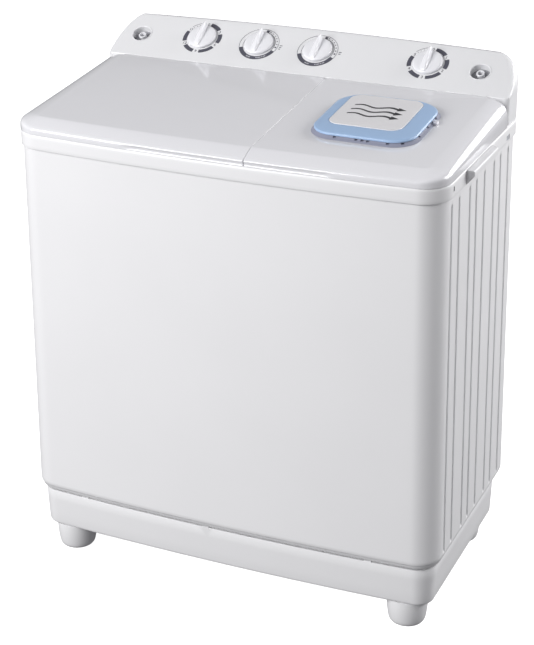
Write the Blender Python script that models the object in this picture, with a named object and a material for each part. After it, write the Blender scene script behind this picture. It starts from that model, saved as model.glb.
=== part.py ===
"""Twin tub washing machine: wash tub with pulsator on the left, spin basket on the right.

Metres, +Z up, front towards -Y.  While it is modelled, D is the depth behind the front plane and
the floor lies FLOOR_DROP below zero; every object is moved forward by HALF_DEPTH and up by
FLOOR_DROP at the end, so the origin is on the floor under the middle.
"""
import math

import bmesh
import bpy
from mathutils import Matrix, Vector

for old in list(bpy.data.objects):
    bpy.data.objects.remove(old, do_unlink=True)

# ---------------------------------------------------------------- driving dimensions (metres)
WIDTH = 0.860              # cabinet width half-way up
DEPTH = 0.462              # cabinet depth at the side corners
HALF_DEPTH = 0.2347        # shift that centres the footprint
FLOOR_DROP = 0.0076        # shift that puts the soles of the feet at zero
FRONT_BOW = 0.0155         # bulge of the front at mid width
BOW_FADE = 0.120           # depth over which the bulge dies out
TAPER = 0.0264             # share by which the width shrinks over TAPER_SPAN
TAPER_SPAN = 0.748
GAP = 0.0004               # clearance between touching pieces

Z_FOOT_TOP = 0.0511
Z_BASE_TOP = 0.1415
Z_CAB_LOW = 0.1460
Z_GROOVE_LOW = 0.1640
Z_GROOVE_TOP = 0.8635
Z_CAB_TOP = 0.8770
Z_DECK = 0.9065            # top of the deck under the lids
Z_LID = 0.9072             # lower edge of the lids
WALL = 0.0045
CORNER_FRONT = 0.048
CORNER_REAR = 0.040
BASE_CORNER_REAR = 0.060
FLANGE_X = 0.345           # inner ends of the cabinet's rear flanges
FOOT_X = 0.3665
FOOT_D0, FOOT_D1 = 0.0520, 0.3880
GROOVES = (0.0545, 0.0972, 0.1591, 0.1978, 0.2460, 0.3053, 0.3457, 0.3947)
GROOVE_WIDTH = 0.0112
GROOVE_FLOOR = 0.0070
GROOVE_DEPTH = 0.0028

SEAM_X = 0.0585            # gap between the two lids
SEAM_GAP = 0.0014
LID_SIDE_X = 0.4272        # outer side of the lids, nearly flush with the band
LID_OVERHANG = 0.0040      # how far the lids stand out over the front plane
LID_WALL = 0.0028
HINGE_D = 0.3700
HINGE_Z = 0.9530
BARREL_R = 0.0085
ROD_R = 0.0025
LID_FRONT_TOP = 0.9330
LID_FLAT_START = 0.023     # depth at which the lid's flat plane has that height
LID_CROWN_FRONT = 0.033
LID_CROWN_SIDE = 0.039
LID_SLOPE = (HINGE_Z + BARREL_R - LID_FRONT_TOP) / (HINGE_D - LID_FLAT_START)

FACE_FOOT_D = 0.3805
FACE_FOOT_Z = 0.9600
FACE_ANGLE = math.radians(31.0)
FACE_LENGTH = 0.1145
FACE_CROWN = 0.0725        # share by which the face is longer at mid width
KNOB_S = 0.0665
KNOB_X = (-0.2375, -0.1116, 0.0150, 0.2446)
WELL_S = 0.0600
WELL_X = (-0.3725, 0.3515)

WASH_X0, WASH_X1 = -0.3950, 0.0440
WASH_D0, WASH_D1 = 0.0300, 0.3440
WASH_R = 0.045
WASH_FLOOR = 0.4550
SPIN_X = 0.2380
SPIN_D = 0.1900
SPIN_R = 0.1560
SPIN_FLOOR = 0.4700
TUB_WALL = 0.0030
PULS_X = -0.1755
PULS_D = 0.1870
MOTOR_X = -0.3350
BRAKE_X, BRAKE_D = 0.3080, 0.2400
DRAIN_X, DRAIN_D = 0.0610, 0.3310
OUTLET_Z = 0.2200

VENT_X, VENT_D = 0.2285, 0.1955
VENT_HALF_X, VENT_HALF_D = 0.1010, 0.1015
PLATE_SHIFT_X, PLATE_SHIFT_D = -0.0075, 0.0250   # the plate sits off the frame's middle


# ---------------------------------------------------------------- materials
def material(name, color, rough, metal=0.0, alpha=1.0):
    mat = bpy.data.materials.new(name)
    mat.use_nodes = True
    shader = mat.node_tree.nodes["Principled BSDF"]
    shader.inputs["Base Color"].default_value = (color[0], color[1], color[2], 1.0)
    shader.inputs["Roughness"].default_value = rough
    shader.inputs["Metallic"].default_value = metal
    shader.inputs["Alpha"].default_value = alpha
    mat.diffuse_color = (color[0], color[1], color[2], alpha)
    return mat


WHITE = (0.86, 0.86, 0.88)
SHELL_WHITE = (0.83, 0.83, 0.85)
GREY = (0.62, 0.63, 0.67)
DARK = (0.06, 0.06, 0.07)
STEEL = (0.60, 0.60, 0.62)
PAINT = (0.10, 0.12, 0.16)


# ---------------------------------------------------------------- mesh helpers
def add_object(name, verts, faces, color, rough, metal=0.0, smooth=True):
    mesh = bpy.data.meshes.new(name)
    mesh.from_pydata([tuple(v) for v in verts], [], faces)
    work = bmesh.new()
    work.from_mesh(mesh)
    bmesh.ops.recalc_face_normals(work, faces=work.faces)
    work.to_mesh(mesh)
    work.free()
    obj = bpy.data.objects.new(name, mesh)
    bpy.context.scene.collection.objects.link(obj)
    if color is not None:
        mesh.materials.append(material(name, color, rough, metal))
    for face in mesh.polygons:
        face.use_smooth = smooth
    return obj


def loft(name, rows, color, rough=0.3, metal=0.0, wrap=False, smooth=True):
    """Closed skin through rings with equal point counts; flat caps unless wrapped."""
    count = len(rows[0])
    verts = [point for row in rows for point in row]
    faces = []
    pairs = [(i, i + 1) for i in range(len(rows) - 1)]
    if wrap:
        pairs.append((len(rows) - 1, 0))
    for low, high in pairs:
        for j in range(count):
            k = (j + 1) % count
            faces.append((low * count + j, low * count + k, high * count + k, high * count + j))
    if not wrap:
        faces.append(tuple(reversed(range(count))))
        faces.append(tuple(range((len(rows) - 1) * count, len(rows) * count)))
    return add_object(name, verts, faces, color, rough, metal, smooth)


def frame_to(center, axis, turn=0.0):
    """Matrix that carries +Z at the origin to an axis through the centre."""
    quat = Vector((0, 0, 1)).rotation_difference(Vector(axis).normalized())
    return Matrix.Translation(Vector(center)) @ quat.to_matrix().to_4x4() @ Matrix.Rotation(turn, 4, "Z")


def lathe(name, profile, center, axis=(0, 0, 1), segs=20, color=WHITE, rough=0.3, metal=0.0):
    """Revolve a closed (radius, height) outline; points on the axis become poles."""
    place = frame_to(center, axis)
    verts = []
    index = []
    for radius, height in profile:
        if radius < 1e-7:
            index.append([len(verts)] * segs)
            verts.append(place @ Vector((0, 0, height)))
        else:
            start = len(verts)
            index.append([start + k for k in range(segs)])
            for k in range(segs):
                angle = 2.0 * math.pi * k / segs
                verts.append(place @ Vector((radius * math.cos(angle), radius * math.sin(angle), height)))
    faces = []
    total = len(profile)
    for i in range(total):
        here, there = index[i], index[(i + 1) % total]
        for k in range(segs):
            m = (k + 1) % segs
            quad = []
            for vert in (here[k], here[m], there[m], there[k]):
                if vert not in quad:
                    quad.append(vert)
            if len(quad) > 2:
                faces.append(tuple(quad))
    return add_object(name, verts, faces, color, rough, metal)


def block(name, low, high, color=WHITE, rough=0.4, metal=0.0):
    (x0, y0, z0), (x1, y1, z1) = low, high
    rows = [[(x0, y0, z), (x1, y0, z), (x1, y1, z), (x0, y1, z)] for z in (z0, z1)]
    return loft(name, rows, color, rough, metal, smooth=False)


def prism(name, outline, low, high, place=None, color=WHITE, rough=0.4, metal=0.0, smooth=False):
    """Extrude a plan outline between two heights, optionally carried by a matrix."""
    place = place or Matrix.Identity(4)
    rows = [[place @ Vector((x, y, z)) for x, y in outline] for z in (low, high)]
    return loft(name, rows, color, rough, metal, smooth=smooth)


def round_rect(x0, x1, y0, y1, radius, arc=5):
    points = []
    corners = ((x0 + radius, y0 + radius, 180), (x1 - radius, y0 + radius, 270),
               (x1 - radius, y1 - radius, 0), (x0 + radius, y1 - radius, 90))
    for cx, cy, start in corners:
        for i in range(arc + 1):
            angle = math.radians(start + 90.0 * i / arc)
            points.append((cx + radius * math.cos(angle), cy + radius * math.sin(angle)))
    return points


def circle(cx, cy, radius, segs=24):
    steps = [2.0 * math.pi * i / segs for i in range(segs)]
    return [(cx + radius * math.cos(a), cy + radius * math.sin(a)) for a in steps]


def combine(target, other, operation):
    """Boolean with a hidden helper object."""
    other.hide_render = True
    other.display_type = "WIRE"
    mod = target.modifiers.new(operation.lower() + str(len(target.modifiers)), "BOOLEAN")
    mod.operation = operation
    mod.solver = "EXACT"
    mod.object = other


def cut(target, other):
    combine(target, other, "DIFFERENCE")


def join(target, other):
    combine(target, other, "UNION")


# ---------------------------------------------------------------- shared curved outline
def taper_scale(z):
    return 1.0 - TAPER * ((z - 0.142) / TAPER_SPAN - 0.5)


def shell_point(x, d, z):
    """Plan point with the side taper and the bulge of the front applied."""
    fade = min(1.0, max(0.0, 1.0 - d / BOW_FADE))
    bulge = FRONT_BOW * (1.0 - (2.0 * x / WIDTH) ** 2)
    return Vector((x * taper_scale(z), d - bulge * fade, z))


def cabinet_outline(inset, groove):
    """Open C from the left rear flange round the front to the right rear flange."""
    half = WIDTH / 2.0 - inset
    front = inset
    rear = DEPTH - inset
    r_front = CORNER_FRONT - inset
    r_rear = CORNER_REAR - inset
    right = []
    for i in range(5):
        x = half - r_front
        right.append((x * (i + 0.5) / 5.0, front))
    for i in range(6):
        angle = math.radians(270 + 18.0 * i)
        right.append((half - r_front + r_front * math.cos(angle),
                      front + r_front + r_front * math.sin(angle)))
    for d in GROOVES:
        for off, deep in ((-GROOVE_WIDTH / 2, 0), (-GROOVE_FLOOR / 2, 1), (GROOVE_FLOOR / 2, 1),
                          (GROOVE_WIDTH / 2, 0)):
            right.append((half - deep * groove, d + off))
    for i in range(5):
        angle = math.radians(22.5 * i)
        right.append((half - r_rear + r_rear * math.cos(angle), rear - r_rear + r_rear * math.sin(angle)))
    right.append((FLANGE_X, rear))
    left = [(-x, d) for x, d in reversed(right)]
    return left + right


# ---------------------------------------------------------------- cabinet
def build_cabinet():
    outer = []
    levels = ((Z_CAB_LOW, 0.0105, 0), (0.1500, 0.0064, 0), (0.1565, 0.0024, 0),
              (Z_GROOVE_LOW, 0.0004, 0), (0.1690, 0.0, GROOVE_DEPTH),
              (Z_GROOVE_TOP - 0.005, 0.0, GROOVE_DEPTH), (Z_GROOVE_TOP, 0.0, 0), (Z_CAB_TOP, 0.0, 0))
    for z, inset, groove in levels:
        outer.append([shell_point(x, d, z) for x, d in cabinet_outline(inset, groove)])
    inner = []
    for z, inset in ((Z_CAB_LOW, 0.0105 + WALL), (0.1690, WALL), (Z_CAB_TOP, WALL)):
        points = cabinet_outline(inset, 0)
        inner.append([shell_point(x, d, z) for x, d in points])
    count = len(outer[0])
    verts = [p for row in outer + inner for p in row]
    base = len(outer) * count
    faces = []
    for i in range(len(outer) - 1):
        for j in range(count - 1):
            a = i * count + j
            faces.append((a, a + 1, a + count + 1, a + count))
    for i in range(len(inner) - 1):
        for j in range(count - 1):
            a = base + i * count + j
            faces.append((a, a + count, a + count + 1, a + 1))
    top_out = (len(outer) - 1) * count
    top_in = base + (len(inner) - 1) * count
    for j in range(count - 1):
        faces.append((j + 1, j, base + j, base + j + 1))
        faces.append((top_out + j, top_out + j + 1, top_in + j + 1, top_in + j))
    for j in (0, count - 1):
        rim = [i * count + j for i in range(len(outer))]
        rim += [base + i * count + j for i in reversed(range(len(inner)))]
        faces.append(tuple(rim))
    return add_object("cabinet", verts, faces, SHELL_WHITE, 0.35)


# ---------------------------------------------------------------- base tray and feet
def ring_plan(x0, x1, d0, d1, radii, z, bend=True, front_steps=10, rear_steps=1, arc=5):
    """Closed plan outline; radii in the order front left, front right, rear right, rear left."""
    rfl, rfr, rrr, rrl = radii
    points = []

    def corner(cx, cy, radius, start):
        for i in range(arc + 1):
            angle = math.radians(start + 90.0 * i / arc)
            points.append((cx + radius * math.cos(angle), cy + radius * math.sin(angle)))

    def side(ax, ay, bx, by, steps):
        for i in range(1, steps):
            t = i / steps
            points.append((ax + (bx - ax) * t, ay + (by - ay) * t))

    corner(x0 + rfl, d0 + rfl, rfl, 180)
    side(x0 + rfl, d0, x1 - rfr, d0, front_steps)
    corner(x1 - rfr, d0 + rfr, rfr, 270)
    corner(x1 - rrr, d1 - rrr, rrr, 0)
    side(x1 - rrr, d1, x0 + rrl, d1, rear_steps)
    corner(x0 + rrl, d1 - rrl, rrl, 90)
    if bend:
        return [shell_point(x, d, z) for x, d in points]
    return [Vector((x, d, z)) for x, d in points]


def base_ring(z, inset):
    half = WIDTH / 2.0 - inset
    rf, rr = CORNER_FRONT - inset, BASE_CORNER_REAR - inset
    return ring_plan(-half, half, inset, DEPTH - inset, (rf, rf, rr, rr), z)


def build_base():
    outer = ((Z_FOOT_TOP, 0.0235), (0.0532, 0.0178), (0.0590, 0.0152), (Z_BASE_TOP - 0.001, 0.0105),
             (Z_BASE_TOP, 0.0115))
    lip = ((Z_BASE_TOP, 0.0172), (0.1500, 0.0180), (0.1500, 0.0210))
    inner = ((0.1380, 0.0214), (0.0560, 0.0260))
    rows = [base_ring(z, inset) for z, inset in outer + lip + inner]
    base = loft("base", rows, SHELL_WHITE, 0.40)
    # motor cooling slots in the floor
    for x0 in (-0.250, 0.000):
        for i in range(3):
            d = 0.180 + 0.045 * i
            slot = prism("cut_floor", round_rect(x0, x0 + 0.120, d, d + 0.016, 0.0060, 1), 0.030, 0.070)
            cut(base, slot)
    # spacer tabs that bridge the dark gap under the cabinet's front
    for x in (-0.316, -0.040, 0.300):
        bulge = FRONT_BOW * (1.0 - (2.0 * x / WIDTH) ** 2)
        tab = block("join_tab", (x - 0.007, 0.0130 - bulge, 0.1380), (x + 0.007, 0.0200 - bulge, 0.1452))
        join(base, tab)
    return base


def build_feet():
    spots = (("foot_front_left", -FOOT_X, FOOT_D0), ("foot_front_right", FOOT_X, FOOT_D0),
             ("foot_rear_left", -FOOT_X, FOOT_D1), ("foot_rear_right", FOOT_X, FOOT_D1))
    top = Z_FOOT_TOP - GAP
    sole = -FLOOR_DROP
    profile = [(0, sole), (0.0240, sole), (0.0305, sole + 0.0012), (0.0350, sole + 0.0055),
               (0.0378, sole + 0.0130), (0.0412, top), (0, top)]
    for name, x, d in spots:
        lathe(name, profile, (x, d, 0), segs=20, color=SHELL_WHITE, rough=0.45)


# ---------------------------------------------------------------- rear cover
def build_rear_cover():
    d0 = DEPTH + GAP
    place = Matrix(((1, 0, 0, 0), (0, 0, -1, 0), (0, 1, 0, 0), (0, 0, 0, 1)))
    outline = round_rect(-0.366, 0.366, 0.172, 0.8766, 0.012, 3)
    cover = prism("rear_cover", outline, -d0 - 0.0030, -d0, place, SHELL_WHITE, 0.45)
    for side in (-1, 1):
        for i in range(5):
            z = 0.290 + 0.034 * i
            x = side * 0.205
            slot = prism("cut_louvre", round_rect(x - 0.075, x + 0.075, z, z + 0.010, 0.0034, 1),
                         -d0 - 0.02, -d0 + 0.02, place)
            cut(cover, slot)
    hole = lathe("cut_outlet", [(0, -0.02), (0.0172, -0.02), (0.0172, 0.02), (0, 0.02)],
                 (0.0600, d0, 0.2200), (0, 1, 0), 16, None)
    cut(cover, hole)
    gland_hole = lathe("cut_gland", [(0, -0.02), (0.0084, -0.02), (0.0084, 0.02), (0, 0.02)],
                       (0.3000, d0, 0.2100), (0, 1, 0), 12, None)
    cut(cover, gland_hole)
    return cover


# ---------------------------------------------------------------- tubs
def build_twin_tub():
    flange_top = 0.9020
    outline = round_rect(-0.408, 0.408, 0.014, 0.366, 0.050, 5)
    tub = prism("twin_tub", outline, flange_top - 0.0030, flange_top, color=(0.80, 0.81, 0.84), rough=0.3)
    wash_out = loft("join_wash", [
        [Vector((x, y, z)) for x, y in round_rect(WASH_X0 - TUB_WALL + s, WASH_X1 + TUB_WALL - s,
                                                  WASH_D0 - TUB_WALL + s, WASH_D1 + TUB_WALL - s,
                                                  WASH_R - s,
                                                  5)]
        for z, s in ((WASH_FLOOR - 0.0040, 0.030), (WASH_FLOOR + 0.0120, 0.010),
                     (WASH_FLOOR + 0.0400, 0.003),
                     (flange_top - 0.0010, 0.0))], None)
    join(tub, wash_out)
    spin_out = lathe("join_spin", [(0, SPIN_FLOOR - 0.0040), (SPIN_R - 0.012, SPIN_FLOOR - 0.0040),
                                   (SPIN_R + TUB_WALL - 0.002, SPIN_FLOOR + 0.0080),
                                   (SPIN_R + TUB_WALL, flange_top - 0.0010), (0, flange_top - 0.0010)],
                     (SPIN_X, SPIN_D, 0), segs=24, color=None)
    join(tub, spin_out)
    wash_in = loft("cut_wash", [
        [Vector((x, y, z)) for x, y in round_rect(WASH_X0 + s, WASH_X1 - s, WASH_D0 + s, WASH_D1 - s,
                                                  WASH_R - s, 5)]
        for z, s in ((WASH_FLOOR, 0.030), (WASH_FLOOR + 0.0150, 0.010), (WASH_FLOOR + 0.0400, 0.003),
                     (0.9400, 0.0))], None)
    cut(tub, wash_in)
    spin_in = lathe("cut_spin", [(0, SPIN_FLOOR), (SPIN_R - 0.014, SPIN_FLOOR),
                                 (SPIN_R - 0.001, SPIN_FLOOR + 0.010),
                                 (SPIN_R, 0.9400), (0, 0.9400)], (SPIN_X, SPIN_D, 0), segs=24, color=None)
    cut(tub, spin_in)
    for x, d, radius in ((PULS_X, PULS_D, 0.0180), (SPIN_X, SPIN_D, 0.0245)):
        cut(tub, lathe("cut_shaft", [(0, 0.40), (radius, 0.40), (radius, 0.50), (0, 0.50)],
                       (x, d, 0), segs=16, color=None))


def build_top_frame():
    over = 0.0045
    rows = []
    for z, inset in ((0.9035, 0.0120), (0.8990, 0.0050), (0.8776, -0.0013), (0.8776, -over),
                     (0.9040, -over + 0.0004), (0.9059, -over + 0.0016), (Z_DECK, -over + 0.0040)):
        half = WIDTH / 2.0 - inset
        rf, rr = CORNER_FRONT - inset, CORNER_REAR - inset
        rows.append(ring_plan(-half, half, inset, DEPTH - inset, (rf, rf, rr, rr), z))
    deck = loft("top_frame", rows, WHITE, 0.25)
    wash = prism("cut_wash_mouth", round_rect(WASH_X0 + 0.002, WASH_X1 - 0.002, WASH_D0 + 0.002,
                                              WASH_D1 - 0.010, WASH_R, 6), 0.89, 0.92)
    cut(deck, wash)
    cut(deck, prism("cut_spin_mouth", circle(SPIN_X, SPIN_D, SPIN_R - 0.010, 24), 0.89, 0.92))
    for side in (-1, 1):
        slot_x = side * (WIDTH / 2.0 * taper_scale(0.88) + over)
        cut(deck, block("cut_slot", (min(slot_x, slot_x - side * 0.003), 0.0470, 0.8880),
                        (max(slot_x, slot_x - side * 0.003) + 0.001, 0.0500, 0.8950)))
    return deck


def build_hand_holds():
    """Level hood on each side of the band, open underneath for the fingers, with a gusset at each end."""
    for side, tag in ((-1, "left"), (1, "right")):
        wall = WIDTH / 2.0 * taper_scale(0.89) + 0.0045
        inner = side * (wall + GAP)
        outer = side * (wall + 0.0150)
        section = [(inner, 0.8780), (inner, 0.9052), (outer - side * 0.0020, 0.9046), (outer, 0.9028),
                   (outer, 0.8950)]
        rows = []
        for d, trim in ((0.1200, 0.0), (0.2600, 0.0), (0.2670, 0.0030), (0.2700, 0.0080)):
            rows.append([(x - side * trim if abs(x) > abs(inner) + 0.003 else x, d, z) for x, z in section])
        hood = loft("hand_hold_" + tag, rows, WHITE, 0.25, smooth=False)
        near, far = inner - side * 0.0010, outer - side * 0.0026
        cut(hood, block("cut_hood", (min(near, far), 0.1230, 0.8600), (max(near, far), 0.2590, 0.9022)))


# ---------------------------------------------------------------- lids
def lid_top(d):
    return LID_FRONT_TOP + LID_SLOPE * (d - LID_FLAT_START)


def lid_ring(x0, x1, inset, left, right, front_share, side_share, drop=0.0):
    """Outline of a lid row: how far it stands in, and its share of the height in front and at the side."""
    a, b = x0 + left, x1 - right
    inset -= LID_OVERHANG
    left_lid = x0 < -0.2
    r_left = max(0.006, CORNER_FRONT - max(left, inset)) if left_lid else 0.0022
    r_right = 0.0022 if left_lid else max(0.006, CORNER_FRONT - max(right, inset))
    plan = ring_plan(a, b, inset, HINGE_D - drop, (r_left, r_right, 0.0015, 0.0015), 0.92, True, 7, 1, 3)
    corner_x = a + r_left if left_lid else b - r_right
    row = []
    for point in plan:
        x = point.x / taper_scale(0.92)
        along = (corner_x - x) if left_lid else (x - corner_x)
        blend = min(1.0, max(0.0, along / 0.030))
        if point.y > CORNER_FRONT + 0.03:
            blend = 1.0
        share = front_share + (side_share - front_share) * blend
        top = lid_top(point.y) - drop
        row.append(Vector((x, point.y, Z_LID + (top - Z_LID) * share)))
    return row


def build_lid(name, x0, x1):
    left_side = x0 < -0.2
    # share of the side inset, of the front inset, of the height in front and at the side
    profile = ((0.0, 0.0, 0.0, 0.0), (0.004, 0.003, 0.33, 0.42), (0.044, 0.052, 0.49, 0.595),
               (0.160, 0.200, 0.615, 0.748), (0.390, 0.490, 0.782, 0.878), (0.710, 0.810, 0.938, 0.968),
               (1.0, 1.0, 1.0, 1.0))
    outer, inner = [], []
    for side_share, front_share, front_rise, side_rise in profile:
        crown = LID_CROWN_SIDE * side_share
        seam = 0.0016 * max(0.0, side_share - 0.5) * 2
        left = crown if left_side else seam
        right = seam if left_side else crown
        outer.append(lid_ring(x0, x1, LID_CROWN_FRONT * front_share, left, right, front_rise, side_rise))
    for side_share, front_share, front_rise, side_rise in profile[::2]:
        crown = LID_CROWN_SIDE * side_share + LID_WALL
        left = crown if left_side else LID_WALL
        right = LID_WALL if left_side else crown
        inner.append(lid_ring(x0, x1, LID_CROWN_FRONT * front_share + LID_WALL, left, right, front_rise,
                              side_rise, LID_WALL))
    lid = loft(name, list(reversed(inner)) + outer, WHITE, 0.12)
    ends = (x0 + (0.0440 if left_side else 0.0060), x1 - (0.0060 if left_side else 0.0440))
    lower = (min(ends), 0.3480, 0.9000)
    cut(lid, block("cut_lid_rear", lower, (max(ends), 0.3900, HINGE_Z + 0.0020)))
    length = max(ends) - min(ends) - 0.0012
    barrel = lathe("join_barrel", [(0, 0), (BARREL_R, 0), (BARREL_R, length), (0, length)],
                   (min(ends) + 0.0006, HINGE_D, HINGE_Z), (1, 0, 0), 16, None)
    join(lid, barrel)
    bore = lathe("cut_bore", [(0, 0), (ROD_R + 0.0004, 0), (ROD_R + 0.0004, max(ends) - min(ends) - 0.0040),
                              (0, max(ends) - min(ends) - 0.0040)],
                 (min(ends) + 0.0020, HINGE_D, HINGE_Z), (1, 0, 0), 10, None)
    cut(lid, bore)
    for x in (min(ends) + 0.0120, max(ends) - 0.0120):
        cut(lid, block("cut_post_gap", (x - 0.0050, HINGE_D - 0.0285, HINGE_Z - 0.0200),
                       (x + 0.0050, HINGE_D + 0.0100, HINGE_Z + 0.0054)))
    return lid, min(ends), max(ends)


def build_hinges(deck, tag, x_low, x_high):
    """Steel rod held by two gussets that rise from the deck."""
    length = x_high - x_low - 0.0120
    lathe("hinge_rod_" + tag, [(0, 0), (ROD_R, 0), (ROD_R, length), (0, length)],
          (x_low + 0.0060, HINGE_D, HINGE_Z), (1, 0, 0), 8, STEEL, 0.3, 1.0)
    foot = Z_DECK - 0.0012 - HINGE_Z
    for x in (x_low + 0.0120, x_high - 0.0120):
        place = Matrix(((0, 0, 1, x), (1, 0, 0, HINGE_D), (0, 1, 0, HINGE_Z), (0, 0, 0, 1)))
        outline = [(0.0050 * math.cos(math.radians(a)), 0.0050 * math.sin(math.radians(a)))
                   for a in range(-60, 181, 40)]
        outline += [(-0.0200, -0.0180), (-0.0400, foot + 0.0030), (-0.0400, foot), (-0.0020, foot),
                    (-0.0020, -0.0080)]
        join(deck, prism("join_post", outline, -0.0042, 0.0042, place, None))
        cut(deck, lathe("cut_post", [(0, -0.01), (ROD_R + 0.0004, -0.01), (ROD_R + 0.0004, 0.01),
                                     (0, 0.01)],
                        (x, HINGE_D, HINGE_Z), (1, 0, 0), 10, None))


# ---------------------------------------------------------------- console
def face_point(x, s, height=0.0):
    """Point on the sloping control face: s up the slope, height off the face."""
    return Vector((x, FACE_FOOT_D + s * math.cos(FACE_ANGLE) - height * math.sin(FACE_ANGLE),
                   FACE_FOOT_Z + s * math.sin(FACE_ANGLE) + height * math.cos(FACE_ANGLE)))


FACE_NORMAL = (0.0, -math.sin(FACE_ANGLE), math.cos(FACE_ANGLE))


def console_ring(s, lift, inset, back):
    """Row of the console: s below zero is the foot wall, above zero the sloping face."""
    half = 0.4255 - inset
    if s > 0:
        half -= 0.0640 * (1.0 - math.sqrt(max(0.0, 1.0 - (s / 0.1185) ** 2)))
    d0 = FACE_FOOT_D + max(0.0, s) * math.cos(FACE_ANGLE) + inset
    d1 = back - inset
    r_front = min(0.010, (d1 - d0) * 0.40)
    r_rear = min(0.050, (d1 - d0) * 0.55)
    plan = ring_plan(-half, half, d0, d1, (r_front, r_front, r_rear, r_rear), 0.0, False, 9, 9, 3)
    row = []
    for point in plan:
        crown = max(0.0, 1.0 - (point.x / 0.400) ** 2) * FACE_CROWN * max(0.0, s)
        z = FACE_FOOT_Z + s * math.sin(FACE_ANGLE) if s > 0 else FACE_FOOT_Z + s
        row.append(Vector((point.x, point.y + crown * math.cos(FACE_ANGLE),
                           z + crown * math.sin(FACE_ANGLE) + lift)))
    return row


def build_console():
    back = 0.4820
    outer = [console_ring(s, 0.0, 0.0, back) for s in (Z_DECK + GAP - FACE_FOOT_Z, 0.0, 0.0400, 0.0720,
                                                       0.0960, FACE_LENGTH - 0.0060)]
    outer.append(console_ring(FACE_LENGTH - 0.0012, 0.0, 0.0010, back))
    outer.append(console_ring(FACE_LENGTH, -0.0002, 0.0036, back))
    lift = -0.0032
    inner = [console_ring(s, lift if s > 0 else 0.0, 0.0028, back)
             for s in (Z_DECK + GAP - FACE_FOOT_Z, 0.0, 0.0600, 0.0960)]
    console = loft("console", list(reversed(inner)) + outer, WHITE, 0.2)
    for x in KNOB_X:
        cut(console, lathe("cut_knob_hole", [(0, -0.03), (0.0085, -0.03), (0.0085, 0.01), (0, 0.01)],
                           face_point(x, KNOB_S), FACE_NORMAL, 12, None))
    for x in WELL_X:
        cut(console, lathe("cut_well_hole", [(0, -0.03), (0.0208, -0.03), (0.0208, 0.01), (0, 0.01)],
                           face_point(x, WELL_S), FACE_NORMAL, 16, None))
    return console


def build_wells():
    for side, x in (("left", WELL_X[0]), ("right", WELL_X[1])):
        center = face_point(x, WELL_S)
        profile = [(0.0078, -0.0180), (0.0186, -0.0180), (0.0204, -0.0160), (0.0204, 0.0004),
                   (0.0228, 0.0004),
                   (0.0222, 0.0017), (0.0196, 0.0017), (0.0188, 0.0006), (0.0188, -0.0162),
                   (0.0078, -0.0162)]
        lathe("inlet_well_" + side, profile, center, FACE_NORMAL, 16, WHITE, 0.25)
        spigot = [(0.0050, -0.0300), (0.0074, -0.0300), (0.0074, 0.0000), (0.0082, 0.0014),
                  (0.0078, 0.0045),
                  (0.0050, 0.0045)]
        lathe("inlet_spigot_" + side, spigot, center, FACE_NORMAL, 12, WHITE, 0.25)


KNOBS = ("wash_timer", "wash_selector", "drain_selector", "spin_timer")


def build_knobs():
    for tag, x in zip(KNOBS, KNOB_X):
        center = face_point(x, KNOB_S)
        place = frame_to(center, FACE_NORMAL)
        skirt = [(0, 0.0008), (0.0290, 0.0008), (0.0300, 0.0016), (0.0300, 0.0050), (0.0288, 0.0068),
                 (0.0262, 0.0076), (0.0205, 0.0080), (0.0196, 0.0090), (0, 0.0090)]
        knob = lathe("knob_" + tag, skirt, center, FACE_NORMAL, 20, WHITE, 0.2)
        rows = []
        for h, half_w, half_l in ((0.0070, 0.0088, 0.0268), (0.0140, 0.0078, 0.0256),
                                  (0.0205, 0.0064, 0.0236),
                                  (0.0232, 0.0044, 0.0210)):
            outline = round_rect(-half_w, half_w, -half_l, half_l, half_w * 0.85, 2)
            rows.append([place @ Vector((u, v, h - (0.0030 * max(0.0, -v) / half_l if h > 0.01 else 0.0)))
                         for u, v in outline])
        join(knob, loft("join_grip", rows, None))
        cut(knob, lathe("cut_knob", [(0, -0.002), (0.0034, -0.002), (0.0034, 0.0140), (0, 0.0140)],
                        center, FACE_NORMAL, 8, None))
        lathe("shaft_" + tag, [(0, -0.0105), (0.0030, -0.0105), (0.0030, 0.0134), (0, 0.0134)],
              center, FACE_NORMAL, 8, STEEL, 0.3, 1.0)
        body_r, body_h = (0.0180, 0.0190) if "timer" in tag else (0.0130, 0.0120)
        lathe(tag, [(0.0034, -0.0040), (0.0078, -0.0040), (0.0078, -0.0064), (body_r, -0.0064),
                    (body_r, -0.0064 - body_h), (0, -0.0064 - body_h), (0, -0.0110), (0.0034, -0.0110)],
              center, FACE_NORMAL, 12, GREY, 0.5)


# ---------------------------------------------------------------- blue dry-air vent on the spin lid
def vent_ring(scale, radius, h, shift=0.0):
    """Rounded square on the lid's slope: share of the half size, corner radius, height off the lid."""
    ang = math.atan(LID_SLOPE)
    half_x, half_d = VENT_HALF_X * scale, VENT_HALF_D * scale
    row = []
    for u, v in round_rect(-half_x, half_x, -half_d, half_d, radius, 4):
        u += PLATE_SHIFT_X * shift
        v += PLATE_SHIFT_D * shift
        z = lid_top(VENT_D) + v * math.sin(ang) + h * math.cos(ang)
        row.append(Vector((VENT_X + u, VENT_D + v * math.cos(ang) - h * math.sin(ang), z)))
    return row


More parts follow.
